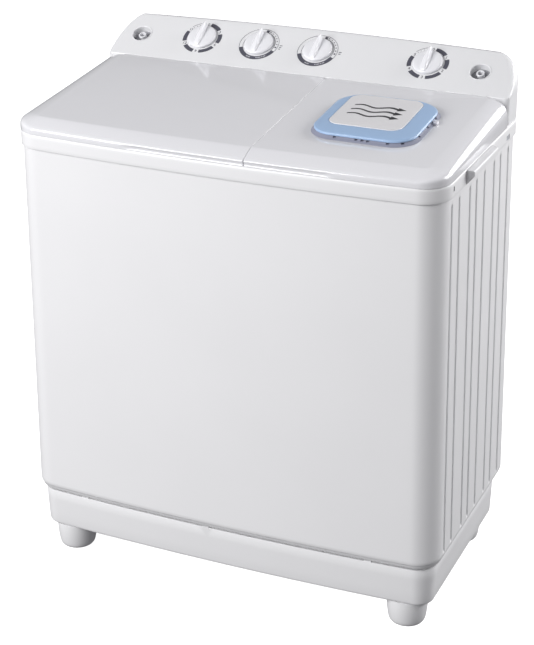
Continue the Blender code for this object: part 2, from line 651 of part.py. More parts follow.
def build_vent(spin_lid):
    cut(spin_lid, loft("cut_vent_hole", [vent_ring(0.80, 0.030, -0.010), vent_ring(0.80, 0.030, 0.004)],
                       None))
    seat_rows = [vent_ring(0.74, 0.026, -0.0050), vent_ring(0.785, 0.028, -0.0050),
                 vent_ring(0.785, 0.028, 0.0004), vent_ring(1.055, 0.049, 0.0004),
                 vent_ring(1.050, 0.049, 0.0010), vent_ring(0.975, 0.042, 0.0060),
                 vent_ring(0.74, 0.026, 0.0060)]
    seat = loft("vent_seat", seat_rows, (0.60, 0.61, 0.72), 0.4, wrap=True, smooth=False)
    # air slots through the front of the skirt
    front = VENT_D - VENT_HALF_D
    for u in (-0.041, 0.0, 0.0115, 0.0225, 0.0600):
        low = lid_top(front) + 0.0026
        cut(seat, block("cut_seat_slot", (VENT_X + u - 0.003, front - 0.012, low),
                        (VENT_X + u + 0.003, front + 0.010, low + 0.0020)))
    frame_rows = [vent_ring(0.70, 0.024, 0.0064, 1.0), vent_ring(1.0, 0.044, 0.0064),
                  vent_ring(1.0, 0.044, 0.0095), vent_ring(0.965, 0.041, 0.0122, 0.12),
                  vent_ring(0.73, 0.025, 0.0140, 0.90), vent_ring(0.70, 0.024, 0.0128, 1.0)]
    loft("vent_frame", frame_rows, (0.50, 0.68, 0.90), 0.25, wrap=True)
    plate_rows = [vent_ring(0.690, 0.022, 0.0070, 1.0), vent_ring(0.695, 0.023, 0.0135, 1.0),
                  vent_ring(0.680, 0.022, 0.0148, 1.0)]
    loft("vent_plate", plate_rows, (0.78, 0.80, 0.82), 0.3)


# ---------------------------------------------------------------- wash drive
def build_wash_drive():
    center = (PULS_X, PULS_D, 0)
    dish = [(0, 0.4620), (0.0300, 0.4620), (0.1300, 0.4620), (0.1460, 0.4780), (0.1440, 0.4830),
            (0.1200, 0.4780), (0.0600, 0.4800), (0.0330, 0.4900), (0.0100, 0.4920), (0.0100, 0.4860),
            (0, 0.4860)]
    puls = lathe("pulsator", dish, center, segs=24, color=(0.82, 0.83, 0.86), rough=0.3)
    for i in range(4):
        turn = math.radians(45 + 90 * i)
        place = frame_to((PULS_X, PULS_D, 0), (0, 0, 1), turn)
        rows = []
        for z, half_w, r0, r1 in ((0.4700, 0.0085, 0.020, 0.136), (0.4900, 0.0062, 0.022, 0.132),
                                  (0.4990, 0.0030, 0.028, 0.120)):
            rows.append([place @ Vector((x, y, z)) for x, y in round_rect(r0, r1, -half_w, half_w,
                                                                          half_w * 0.9, 1)])
        join(puls, loft("join_fin", rows, None))
    cut(puls, lathe("cut_hub", [(0, 0.455), (0.0064, 0.455), (0.0064, 0.4780), (0, 0.4780)], center,
                    segs=10,
                    color=None))
    cut(puls, lathe("cut_screw", [(0, 0.47), (0.0036, 0.47), (0.0036, 0.51), (0, 0.51)], center, segs=8,
                    color=None))
    lathe("pulsator_screw", [(0, 0.4786), (0.0032, 0.4786), (0.0032, 0.4864), (0.0085, 0.4864),
                             (0.0085, 0.4900),
                             (0.0070, 0.4915), (0, 0.4915)], center, segs=10, color=STEEL, rough=0.3,
          metal=1.0)
    lathe("wash_shaft", [(0, 0.2700), (0.0060, 0.2700), (0.0060, 0.4776), (0, 0.4776)], center, segs=10,
          color=STEEL, rough=0.3, metal=1.0)
    lathe("bearing_housing", [(0.0064, 0.3150), (0.0200, 0.3150), (0.0300, 0.3250), (0.0300, 0.4100),
                              (0.0520, 0.4200),
                              (0.0520, 0.4320), (0.0174, 0.4320), (0.0174, 0.4580), (0.0064, 0.4580)],
          center, segs=16, color=PAINT, rough=0.5)
    lathe("wash_pulley", [(0.0064, 0.2740), (0.0860, 0.2740), (0.0880, 0.2760), (0.0840, 0.2800),
                          (0.0840, 0.2900),
                          (0.0880, 0.2940), (0.0860, 0.2960), (0.0300, 0.2960), (0.0300, 0.3040),
                          (0.0064, 0.3040)],
          center, segs=24, color=(0.12, 0.12, 0.13), rough=0.5)
    plate = prism("drive_bracket", round_rect(-0.3700, -0.0300, 0.0900, 0.2900, 0.030, 4), 0.4360, 0.4390,
                  color=STEEL, rough=0.4, metal=0.8)
    cut(plate, lathe("cut_plate_a", [(0, 0.42), (0.0178, 0.42), (0.0178, 0.45), (0, 0.45)], center, segs=16,
                     color=None))
    for x in (-0.3550, -0.0450):
        for d in (0.1050, 0.2750):
            join(plate, lathe("join_lug", [(0, 0.4380), (0.0080, 0.4380), (0.0080, 0.4506), (0, 0.4506)],
                              (x, d, 0), segs=10, color=None))
    motor_x = MOTOR_X
    motor = (motor_x, PULS_D, 0)
    lathe("wash_motor", [(0.0040, 0.3050), (0.0240, 0.3050), (0.0260, 0.3120), (0.0560, 0.3200),
                         (0.0560, 0.3360),
                         (0.0600, 0.3380), (0.0600, 0.4100), (0.0560, 0.4120), (0.0480, 0.4356),
                         (0, 0.4356),
                         (0, 0.4000), (0.0040, 0.4000)],
          motor, segs=16, color=(0.30, 0.31, 0.33), rough=0.4, metal=0.6)
    pulley = lathe("motor_pulley", [(0, 0.2740), (0.0230, 0.2740), (0.0240, 0.2760), (0.0200, 0.2800),
                                    (0.0200, 0.2900),
                                    (0.0240, 0.2940), (0.0230, 0.2960), (0.0100, 0.2960), (0.0100, 0.3040),
                                    (0.0036, 0.3040), (0.0036, 0.3900), (0, 0.3900)],
                   motor, segs=16, color=(0.12, 0.12, 0.13), rough=0.5)
    outer, inner = [], []
    wrap = 90.0 + math.degrees(math.asin((0.0850 - 0.0209) / (PULS_X - motor_x)))
    for i in range(15):
        a = math.radians(-wrap + 2.0 * wrap * i / 14)
        outer.append((PULS_X + 0.0880 * math.cos(a), PULS_D + 0.0880 * math.sin(a)))
        inner.append((PULS_X + 0.0856 * math.cos(a), PULS_D + 0.0856 * math.sin(a)))
    for i in range(7):
        a = math.radians(wrap + (360.0 - 2.0 * wrap) * i / 6)
        outer.append((motor_x + 0.0236 * math.cos(a), PULS_D + 0.0236 * math.sin(a)))
        inner.append((motor_x + 0.0212 * math.cos(a), PULS_D + 0.0212 * math.sin(a)))
    rows = [[(x, y, 0.2808) for x, y in outer], [(x, y, 0.2892) for x, y in outer],
            [(x, y, 0.2892) for x, y in inner], [(x, y, 0.2808) for x, y in inner]]
    loft("drive_belt", rows, (0.05, 0.05, 0.05), 0.8, wrap=True)
    return pulley


# ---------------------------------------------------------------- spin drive
def build_spin_drive():
    center = (SPIN_X, SPIN_D, 0)
    basket = lathe("spin_basket", [(0.0064, 0.4850), (0.1160, 0.4850), (0.1320, 0.5050), (0.1370, 0.8500),
                                   (0.1385, 0.8520), (0.1385, 0.8790),
                                   (0.1250, 0.8800), (0.1240, 0.8580),
                                   (0.1335, 0.8480), (0.1290, 0.5100), (0.1140, 0.4890),
                                   (0.0400, 0.4900), (0.0200, 0.5100), (0.0064, 0.5100)],
                   center, segs=24, color=(0.80, 0.81, 0.84), rough=0.3)
    for i in range(4):
        for k in range(3):
            angle = math.radians(22.5 + 45.0 * i + (22.5 if k % 2 else 0.0))
            z = 0.580 + 0.100 * k
            bar = lathe("cut_hole", [(0, -0.16), (0.0045, -0.16), (0.0045, 0.16), (0, 0.16)],
                        (SPIN_X, SPIN_D, z),
                        (math.cos(angle), math.sin(angle), 0), 6, None)
            cut(basket, bar)
    lathe("spin_shaft", [(0, 0.3900), (0.0060, 0.3900), (0.0060, 0.5104), (0.0140, 0.5104),
                         (0.0140, 0.5150),
                         (0.0080, 0.5220), (0, 0.5220)], center, segs=12, color=STEEL, rough=0.3, metal=1.0)
    lathe("brake_drum", [(0, 0.3486), (0.0100, 0.3486), (0.0100, 0.3640), (0.0480, 0.3640),
                         (0.0500, 0.3660),
                         (0.0500, 0.3860), (0.0480, 0.3880), (0.0140, 0.3880), (0.0140, 0.4120),
                         (0.0064, 0.4120),
                         (0.0064, 0.3896), (0, 0.3896)],
          center, segs=20, color=(0.35, 0.35, 0.37), rough=0.5, metal=0.7)
    lathe("bellows_seal", [(0.0066, 0.4180), (0.0110, 0.4180), (0.0150, 0.4240), (0.0110, 0.4300),
                           (0.0160, 0.4360),
                           (0.0120, 0.4420), (0.0200, 0.4500), (0.0270, 0.4560), (0.0270, 0.4656),
                           (0.0240, 0.4656),
                           (0.0240, 0.4730), (0.0200, 0.4730), (0.0180, 0.4540), (0.0100, 0.4440),
                           (0.0066, 0.4440)],
          center, segs=16, color=(0.08, 0.08, 0.08), rough=0.8)
    motor = lathe("spin_motor", [(0.0104, 0.3514), (0.0300, 0.3514), (0.0320, 0.3440), (0.0620, 0.3360),
                                 (0.0640, 0.3160), (0.0680, 0.3140), (0.0680, 0.2340),
                                 (0.0640, 0.2320), (0.0640, 0.2180), (0.0540, 0.2060), (0, 0.2060),
                                 (0, 0.3480),
                                 (0.0104, 0.3480)],
                  center, segs=20, color=(0.30, 0.31, 0.33), rough=0.4, metal=0.6)
    plate = prism("join_feet", round_rect(SPIN_X - 0.0900, SPIN_X + 0.0900, SPIN_D - 0.0900,
                                          SPIN_D + 0.0900,
                                          0.020, 3),
                  0.2040, 0.2080)
    join(motor, plate)
    for i in range(3):
        angle = math.radians(90 + 120 * i)
        spot = (SPIN_X + 0.0780 * math.cos(angle), SPIN_D + 0.0780 * math.sin(angle), 0)
        lathe("spin_mount_%d" % (i + 1), [(0, 0.0564), (0.0200, 0.0564), (0.0200, 0.0900), (0.0150, 0.0920),
                                          (0.0150, 0.1980), (0.0180, 0.2000), (0.0180, 0.2034),
                                          (0, 0.2034)],
              spot, segs=12, color=(0.09, 0.09, 0.09), rough=0.7)
    return motor


# ---------------------------------------------------------------- brake lever
def build_brake(motor):
    """Lever beside the drum; its pivot post stands on the motor's foot plate."""
    join(motor, lathe("join_pivot", [(0, 0.2050), (0.0065, 0.2050), (0.0065, 0.3692), (0.0030, 0.3692),
                                     (0.0030, 0.3830), (0, 0.3830)], (BRAKE_X, BRAKE_D, 0), segs=10,
                      color=None))
    outline = [(0.2930, 0.1640), (0.3050, 0.1640), (0.3180, 0.2300), (0.3400, 0.2460), (0.3400, 0.2560),
               (0.3000, 0.2520), (0.2930, 0.2060)]
    lever = prism("brake_lever", outline, 0.3698, 0.3820, color=STEEL, rough=0.4, metal=0.9)
    cut(lever, lathe("cut_lever", [(0, 0.36), (0.0034, 0.36), (0.0034, 0.39), (0, 0.39)],
                     (BRAKE_X, BRAKE_D, 0), segs=10, color=None))


# ---------------------------------------------------------------- drain
def tube(name, path, r_out, r_in, segs, color, rough):
    """Open pipe along a path in the YZ plane."""
    rows = []
    for radius, order in ((r_out, range(len(path))), (r_in, reversed(range(len(path))))):
        for i in order:
            ahead = Vector(path[min(i + 1, len(path) - 1)])
            behind = Vector(path[max(i - 1, 0)])
            along = (ahead - behind).normalized()
            across = Vector((1, 0, 0)).cross(along)
            ring = []
            for k in range(segs):
                a = 2.0 * math.pi * k / segs
                ring.append(Vector(path[i]) + radius * (math.cos(a) * Vector((1, 0,
                                                                              0)) + math.sin(a) * across))
            rows.append(ring)
    return loft(name, rows, color, rough, wrap=True)


def build_drain():
    center = (DRAIN_X, DRAIN_D, 0)
    lathe("drain_valve", [(0.0080, 0.3980), (0.0260, 0.3980), (0.0260, 0.4560), (0.0290, 0.4580),
                          (0.0290, 0.4640),
                          (0.0042, 0.4640), (0.0042, 0.4600), (0.0230, 0.4560), (0.0230, 0.4100),
                          (0.0080, 0.4030)],
          center, segs=16, color=(0.70, 0.71, 0.74), rough=0.4)
    lathe("drain_plunger", [(0, 0.4115), (0.0150, 0.4115), (0.0190, 0.4160), (0.0190, 0.4200),
                            (0.0060, 0.4230),
                            (0.0036, 0.4230), (0.0036, 0.5200), (0, 0.5200)], center, segs=12,
          color=(0.15, 0.15, 0.16), rough=0.7)
    path = [(DRAIN_X, DRAIN_D, 0.3976), (DRAIN_X, DRAIN_D, 0.2560), (DRAIN_X, DRAIN_D + 0.0050, 0.2370),
            (DRAIN_X, DRAIN_D + 0.0170, 0.2250), (DRAIN_X, DRAIN_D + 0.0360, OUTLET_Z),
            (DRAIN_X, 0.4800, OUTLET_Z)]
    tube("drain_outlet", path, 0.0160, 0.0130, 12, (0.40, 0.41, 0.44), 0.5)


# ---------------------------------------------------------------- tub filter and electrics
def build_small_parts():
    lint = block("lint_filter", (0.0290, 0.1400, 0.6200), (0.0412, 0.2300, 0.8600), (0.55, 0.66, 0.82), 0.4)
    cut(lint, prism("cut_net", round_rect(0.1480, 0.2220, 0.6300, 0.8400, 0.010, 3), 0.0270, 0.0330,
                    Matrix(((0, 0, 1, 0), (1, 0, 0, 0), (0, 1, 0, 0), (0, 0, 0, 1)))))
    lathe("cord_gland", [(0.0036, -0.0080), (0.0080, -0.0080), (0.0080, 0.0038), (0.0120, 0.0038),
                         (0.0120, 0.0070), (0.0070, 0.0140), (0.0036, 0.0140)], (0.3000, DEPTH, 0.2100),
          (0, 1, 0),
          12, (0.10, 0.10, 0.11), 0.6)
    lathe("motor_capacitor", [(0, 0.0564), (0.0180, 0.0564), (0.0180, 0.1300), (0.0160, 0.1320),
                              (0.0080, 0.1320),
                              (0.0080, 0.1380), (0, 0.1380)], (-0.0200, 0.3900, 0), segs=12,
          color=(0.25, 0.28, 0.34),
          rough=0.4)
    switch = block("lid_switch", (0.2950, 0.3870, Z_DECK + GAP), (0.3250, 0.4000, 0.9240), DARK, 0.6)
    join(switch, block("join_lever", (0.3070, 0.3900, 0.9230), (0.3130, 0.3970, 0.9290), None))


build_cabinet()
build_base()
build_feet()
build_rear_cover()
build_twin_tub()
deck = build_top_frame()
build_hand_holds()
wash_lid, wash_low, wash_high = build_lid("wash_lid", -LID_SIDE_X, SEAM_X - SEAM_GAP / 2)
spin_lid, spin_low, spin_high = build_lid("spin_lid", SEAM_X + SEAM_GAP / 2, LID_SIDE_X)
build_hinges(deck, "wash", wash_low, wash_high)
build_hinges(deck, "spin", spin_low, spin_high)
build_console()
build_wells()
build_knobs()
build_vent(spin_lid)
build_wash_drive()
build_brake(build_spin_drive())
build_drain()
build_small_parts()

MOVING = (
    (("wash_lid",), (-0.1800, HINGE_D, HINGE_Z)),
    (("spin_lid", "vent_seat", "vent_frame", "vent_plate"), (0.2400, HINGE_D, HINGE_Z)),
    (("pulsator", "pulsator_screw", "wash_shaft", "wash_pulley"), (PULS_X, PULS_D, 0.4800)),
    (("motor_pulley",), (MOTOR_X, PULS_D, 0.2900)),
    (("spin_basket", "spin_shaft", "brake_drum"), (SPIN_X, SPIN_D, 0.6800)),
    (("brake_lever",), (BRAKE_X, BRAKE_D, 0.3760)),
    (("drain_plunger",), (DRAIN_X, DRAIN_D, 0.4115)),
)


def put_origin(name, point):
    """Move an object's origin to a point, such as one on its joint's axis, without moving its shape."""
    obj = bpy.data.objects[name]
    obj.data.transform(Matrix.Translation(-Vector(point)))
    obj.location = point


for names, point in MOVING:
    for name in names:
        put_origin(name, point)
for tag, x in zip(KNOBS, KNOB_X):
    put_origin("knob_" + tag, face_point(x, KNOB_S))
    put_origin("shaft_" + tag, face_point(x, KNOB_S))

for obj in bpy.data.objects:
    obj.location.y -= HALF_DEPTH
    obj.location.z += FLOOR_DROP
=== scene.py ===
"""Looks for the twin tub washer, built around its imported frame.

Pieces are modelled in the same coordinates as the machine's own design: x across, d the depth
behind the front plane, z the height above the design's zero.  finish_piece carries them into the
frame, whose origin is on the floor under the middle.
"""
import math

import bmesh
import bpy
from mathutils import Matrix, Vector


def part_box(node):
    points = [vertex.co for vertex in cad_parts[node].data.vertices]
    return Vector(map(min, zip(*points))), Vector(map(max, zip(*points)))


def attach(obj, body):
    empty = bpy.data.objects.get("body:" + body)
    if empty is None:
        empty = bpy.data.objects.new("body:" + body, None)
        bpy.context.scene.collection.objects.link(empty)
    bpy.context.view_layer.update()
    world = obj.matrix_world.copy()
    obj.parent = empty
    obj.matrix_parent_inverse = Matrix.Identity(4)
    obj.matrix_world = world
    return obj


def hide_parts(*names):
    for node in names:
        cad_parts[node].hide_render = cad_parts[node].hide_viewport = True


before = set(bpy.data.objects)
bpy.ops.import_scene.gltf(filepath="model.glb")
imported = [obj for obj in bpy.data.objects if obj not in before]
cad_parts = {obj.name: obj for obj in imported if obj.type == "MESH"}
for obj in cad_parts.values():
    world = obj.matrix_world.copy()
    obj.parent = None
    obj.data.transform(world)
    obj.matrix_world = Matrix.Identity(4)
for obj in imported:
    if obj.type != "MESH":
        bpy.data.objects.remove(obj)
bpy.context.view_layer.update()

# ---------------------------------------------------------------- design dimensions (metres)
WIDTH, DEPTH = 0.860, 0.462
HALF_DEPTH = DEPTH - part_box("cabinet")[1].y
FRONT_BOW, BOW_FADE = 0.0155, 0.120
TAPER, TAPER_LOW, TAPER_SPAN = 0.0264, 0.142, 0.748
CORNER_FRONT, CORNER_REAR, BASE_CORNER_REAR = 0.048, 0.040, 0.060
WALL = 0.0045
Z_FOOT_TOP, Z_BASE_TOP, Z_CAB_LOW = 0.0511, 0.1330, 0.1375
Z_GROOVE_LOW, Z_GROOVE_TOP, Z_CAB_TOP = 0.1555, 0.8635, 0.8770
Z_DECK, Z_LID = 0.9065, 0.9072
FLANGE_X = 0.345
GROOVES = (0.0545, 0.0972, 0.1591, 0.1978, 0.2460, 0.3053, 0.3457, 0.3947)
GROOVE_WIDTH, GROOVE_FLOOR, GROOVE_DEPTH = 0.0112, 0.0070, 0.0028
SEAM_X, SEAM_GAP = 0.0585, 0.0005
LID_SIDE_X, LID_OVERHANG, LID_WALL = 0.4272, 0.0040, 0.0028
HINGE_D, HINGE_Z, BARREL_R, ROD_R = 0.3700, 0.9530, 0.0085, 0.0025
LID_FRONT_TOP, LID_CROWN_FRONT, LID_CROWN_SIDE = 0.9330, 0.033, 0.039
LID_SLOPE = (HINGE_Z + BARREL_R - LID_FRONT_TOP) / (HINGE_D - 0.023)
FACE_FOOT_D, FACE_FOOT_Z = 0.3805, 0.9600
FACE_ANGLE = math.radians(31.0)
FACE_LENGTH, FACE_CROWN = 0.1145, 0.0725
CONSOLE_HALF, END_CUT_LEFT, END_CUT_RIGHT = 0.4255, 0.0450, 0.0640
FACE_NORMAL = Vector((0.0, -math.sin(FACE_ANGLE), math.cos(FACE_ANGLE)))
CONSOLE_BACK = 0.4820
KNOB_S, WELL_S = 0.0665, 0.0600
KNOB_X = (-0.2375, -0.1116, 0.0150, 0.2446)
WELL_X = (-0.3725, 0.3515)
KNOBS = ("wash_timer", "wash_selector", "drain_selector", "spin_timer")
VENT_X, VENT_D = 0.2318, 0.1894
VENT_HALF_X, VENT_HALF_D = 0.0989, 0.0939
PLATE_SHIFT_X, PLATE_SHIFT_D, PLATE_STRETCH = -0.0053, 0.0170, 1.09
PULS_X, PULS_D = -0.1755, 0.1870
SPIN_X, SPIN_D, SPIN_R = 0.2380, 0.1900, 0.1560
WASH_X0, WASH_X1, WASH_D0, WASH_D1, WASH_R = -0.3950, 0.0440, 0.0300, 0.3440, 0.045
WASH_FLOOR, SPIN_FLOOR = 0.4550, 0.4700

FLOOR_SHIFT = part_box("cabinet")[1].z - Z_CAB_TOP


# ---------------------------------------------------------------- materials
def plastic(name, color, rough, coat=0.0, grain=900.0, bump=0.015, vary=0.02, wave=0.0, uneven=0.15):
    """Injection-moulded plastic: fine skin grain, faint flow marks and uneven gloss."""
    mat = bpy.data.materials.new(name)
    mat.use_nodes = True
    nodes, links = mat.node_tree.nodes, mat.node_tree.links
    shader = nodes["Principled BSDF"]
    shader.inputs["Coat Weight"].default_value = coat
    shader.inputs["Coat Roughness"].default_value = 0.035
    shader.inputs["IOR"].default_value = 1.5
    coords = nodes.new("ShaderNodeTexCoord")
    broad = nodes.new("ShaderNodeTexNoise")
    broad.inputs["Scale"].default_value = 4.5
    broad.inputs["Detail"].default_value = 5.0
    links.new(coords.outputs["Object"], broad.inputs["Vector"])
    tone = nodes.new("ShaderNodeValToRGB")
    tone.color_ramp.elements[0].position = 0.30
    tone.color_ramp.elements[1].position = 0.72
    tone.color_ramp.elements[0].color = tuple(c * (1.0 - vary) for c in color) + (1.0,)
    tone.color_ramp.elements[1].color = tuple(min(1.0, c * (1.0 + vary * 0.6)) for c in color) + (1.0,)
    links.new(broad.outputs["Fac"], tone.inputs["Fac"])
    links.new(tone.outputs["Color"], shader.inputs["Base Color"])
    smear = nodes.new("ShaderNodeTexNoise")
    smear.inputs["Scale"].default_value = 26.0
    smear.inputs["Detail"].default_value = 6.0
    smear.inputs["Roughness"].default_value = 0.62
    links.new(coords.outputs["Object"], smear.inputs["Vector"])
    gloss = nodes.new("ShaderNodeMapRange")
    gloss.inputs["From Min"].default_value = 0.25
    gloss.inputs["From Max"].default_value = 0.75
    gloss.inputs["To Min"].default_value = rough * (1.0 - uneven)
    gloss.inputs["To Max"].default_value = rough * (1.0 + uneven)
    links.new(smear.outputs["Fac"], gloss.inputs["Value"])
    links.new(gloss.outputs["Result"], shader.inputs["Roughness"])
    skin = nodes.new("ShaderNodeTexNoise")
    skin.inputs["Scale"].default_value = grain
    skin.inputs["Detail"].default_value = 3.0
    links.new(coords.outputs["Object"], skin.inputs["Vector"])
    fine = nodes.new("ShaderNodeBump")
    fine.inputs["Strength"].default_value = bump * 10.0
    fine.inputs["Distance"].default_value = 0.0001
    links.new(skin.outputs["Fac"], fine.inputs["Height"])
    if wave:
        sink = nodes.new("ShaderNodeTexNoise")
        sink.inputs["Scale"].default_value = 7.0
        sink.inputs["Detail"].default_value = 1.0
        links.new(coords.outputs["Object"], sink.inputs["Vector"])
        slow = nodes.new("ShaderNodeBump")
        slow.inputs["Strength"].default_value = 0.5
        slow.inputs["Distance"].default_value = wave
        links.new(sink.outputs["Fac"], slow.inputs["Height"])
        links.new(slow.outputs["Normal"], fine.inputs["Normal"])
    links.new(fine.outputs["Normal"], shader.inputs["Normal"])
    return mat


def metal(name, color, rough, scratch=(4.0, 4.0, 260.0), tint=0.06):
    """Turned or rolled metal with fine directional marks."""
    mat = bpy.data.materials.new(name)
    mat.use_nodes = True
    nodes, links = mat.node_tree.nodes, mat.node_tree.links
    shader = nodes["Principled BSDF"]
    shader.inputs["Metallic"].default_value = 1.0
    coords = nodes.new("ShaderNodeTexCoord")
    stretch = nodes.new("ShaderNodeMapping")
    stretch.inputs["Scale"].default_value = scratch
    links.new(coords.outputs["Object"], stretch.inputs["Vector"])
    marks = nodes.new("ShaderNodeTexNoise")
    marks.inputs["Scale"].default_value = 6.0
    marks.inputs["Detail"].default_value = 6.0
    links.new(stretch.outputs["Vector"], marks.inputs["Vector"])
    tone = nodes.new("ShaderNodeValToRGB")
    tone.color_ramp.elements[0].color = tuple(c * (1.0 - tint) for c in color) + (1.0,)
    tone.color_ramp.elements[1].color = tuple(min(1.0, c * (1.0 + tint)) for c in color) + (1.0,)
    links.new(marks.outputs["Fac"], tone.inputs["Fac"])
    links.new(tone.outputs["Color"], shader.inputs["Base Color"])
    gloss = nodes.new("ShaderNodeMapRange")
    gloss.inputs["To Min"].default_value = rough * 0.7
    gloss.inputs["To Max"].default_value = rough * 1.35
    links.new(marks.outputs["Fac"], gloss.inputs["Value"])
    links.new(gloss.outputs["Result"], shader.inputs["Roughness"])
    fine = nodes.new("ShaderNodeBump")
    fine.inputs["Strength"].default_value = 0.15
    fine.inputs["Distance"].default_value = 0.0002
    links.new(marks.outputs["Fac"], fine.inputs["Height"])
    links.new(fine.outputs["Normal"], shader.inputs["Normal"])
    return mat


WHITE_GLOSS = plastic("white_gloss_moulding", (0.765, 0.762, 0.790), 0.085, coat=0.60, grain=500,
                      bump=0.003,
                      vary=0.010, wave=0.00012, uneven=0.10)
WHITE_SATIN = plastic("white_satin_moulding", (0.815, 0.812, 0.825), 0.36, coat=0.05, grain=1400, bump=0.02,
                      vary=0.012, wave=0.0004)
CONSOLE_WHITE = plastic("console_moulding", (0.775, 0.775, 0.790), 0.33, coat=0.10, grain=1100, bump=0.012,
                        vary=0.010, wave=0.0002)
KNOB_WHITE = plastic("knob_moulding", (0.80, 0.80, 0.83), 0.20, coat=0.30, grain=700, bump=0.006,
                     vary=0.015)
TUB_PLASTIC = plastic("tub_moulding", (0.74, 0.755, 0.78), 0.30, coat=0.10, grain=800, bump=0.02, vary=0.03,
                      wave=0.0006)
VENT_BLUE = plastic("vent_blue_moulding", (0.335, 0.475, 0.690), 0.34, coat=0.10, grain=900, bump=0.008,
                    vary=0.012,
                    uneven=0.05)
VENT_GREY = plastic("vent_plate_moulding", (0.71, 0.70, 0.715), 0.34, coat=0.05, grain=1300, bump=0.015,
                    vary=0.015)
VENT_LAVENDER = plastic("vent_seat_moulding", (0.27, 0.28, 0.36), 0.46, grain=1000, bump=0.015, vary=0.04)
CLIP_CLEAR = plastic("clip_moulding", (0.66, 0.66, 0.72), 0.18, coat=0.4, grain=900, bump=0.01, vary=0.03)
FILTER_BLUE = plastic("filter_moulding", (0.42, 0.56, 0.76), 0.40, grain=1200, bump=0.03, vary=0.05)
GREY_PLASTIC = plastic("grey_moulding", (0.42, 0.43, 0.46), 0.46, grain=1200, bump=0.03, vary=0.05)
BLACK_PLASTIC = plastic("black_moulding", (0.028, 0.028, 0.032), 0.45, grain=1200, bump=0.03, vary=0.12)
RUBBER = plastic("rubber_moulding", (0.022, 0.022, 0.023), 0.72, grain=1600, bump=0.08, vary=0.20)
# dark grey for the painted shade on the floor of the inlet wells
WELL_SHADE_GREY = plastic("well_floor_painted_shade", (0.30, 0.30, 0.325), 0.50, grain=1200, bump=0.03, vary=0.05)
DIAL_INK = plastic("dial_ink", (0.085, 0.085, 0.110), 0.42, grain=2600, bump=0.01, vary=0.08)
DIAL_LIGHT = plastic("dial_light_ink", (0.50, 0.50, 0.53), 0.42, grain=2600, bump=0.01, vary=0.05)
SYMBOL_INK = plastic("symbol_ink", (0.012, 0.012, 0.016), 0.35, grain=2600, bump=0.01, vary=0.10)
STEEL = metal("turned_steel", (0.56, 0.56, 0.58), 0.26)
MOTOR_PAINT = plastic("motor_paint", (0.10, 0.115, 0.13), 0.38, coat=0.2, grain=260, bump=0.10, vary=0.18)


# ---------------------------------------------------------------- mesh helpers
def add_mesh(name, verts, faces, sharp=38.0, mat=None):
    mesh = bpy.data.meshes.new(name)
    mesh.from_pydata([tuple(v) for v in verts], [], faces)
    work = bmesh.new()
    work.from_mesh(mesh)
    bmesh.ops.remove_doubles(work, verts=work.verts, dist=1e-7)
    bmesh.ops.recalc_face_normals(work, faces=work.faces)
    work.to_mesh(mesh)
    work.free()
    obj = bpy.data.objects.new(name, mesh)
    bpy.context.scene.collection.objects.link(obj)
    if mat is not None:
        mesh.materials.append(mat)
    smooth_shade(mesh, sharp)
    return obj


def smooth_shade(mesh, sharp=38.0):
    mesh.shade_smooth()
    mesh.set_sharp_from_angle(angle=math.radians(sharp))


def loft(name, rows, wrap=False, sharp=38.0, mat=None):
    """Closed skin through rings with equal point counts; capped unless it wraps round."""
    count = len(rows[0])
    verts = [point for row in rows for point in row]
    faces = []
    pairs = [(i, i + 1) for i in range(len(rows) - 1)]
    if wrap:
        pairs.append((len(rows) - 1, 0))
    for low, high in pairs:
        for j in range(count):
            k = (j + 1) % count
            faces.append((low * count + j, low * count + k, high * count + k, high * count + j))
    if not wrap:
        faces.append(tuple(reversed(range(count))))
        faces.append(tuple(range((len(rows) - 1) * count, len(rows) * count)))
    return add_mesh(name, verts, faces, sharp, mat)


def frame_to(center, axis, turn=0.0):
    """Matrix that carries +Z at the origin to an axis through the centre."""
    quat = Vector((0, 0, 1)).rotation_difference(Vector(axis).normalized())
    return Matrix.Translation(Vector(center)) @ quat.to_matrix().to_4x4() @ Matrix.Rotation(turn, 4, "Z")


def face_frame(x, s, turn=0.0):
    """Axes on the control face: x across, y up the slope, z off the face."""
    across = Vector((1, 0, 0))
    up = Vector((0, math.cos(FACE_ANGLE), math.sin(FACE_ANGLE)))
    place = Matrix((across, up, FACE_NORMAL)).transposed().to_4x4()
    return Matrix.Translation(face_point(x, s)) @ place @ Matrix.Rotation(turn, 4, "Z")


def lathe(name, profile, place, segs=64, sharp=35.0, mat=None):
    """Revolve a closed (radius, height) outline about the Z axis of a placing matrix."""
    if not isinstance(place, Matrix):
        place = Matrix.Translation(Vector(place))
    verts, index = [], []
    for radius, height in profile:
        if radius < 1e-7:
            index.append([len(verts)] * segs)
            verts.append(place @ Vector((0, 0, height)))
        else:
            start = len(verts)
            index.append([start + k for k in range(segs)])
            for k in range(segs):
                angle = 2.0 * math.pi * k / segs
                verts.append(place @ Vector((radius * math.cos(angle), radius * math.sin(angle), height)))
    faces = []
    for i in range(len(profile)):
        here, there = index[i], index[(i + 1) % len(profile)]
        for k in range(segs):
            m = (k + 1) % segs
            quad = []
            for vert in (here[k], here[m], there[m], there[k]):
                if vert not in quad:
                    quad.append(vert)
            if len(quad) > 2:
                faces.append(tuple(quad))
    return add_mesh(name, verts, faces, sharp, mat)


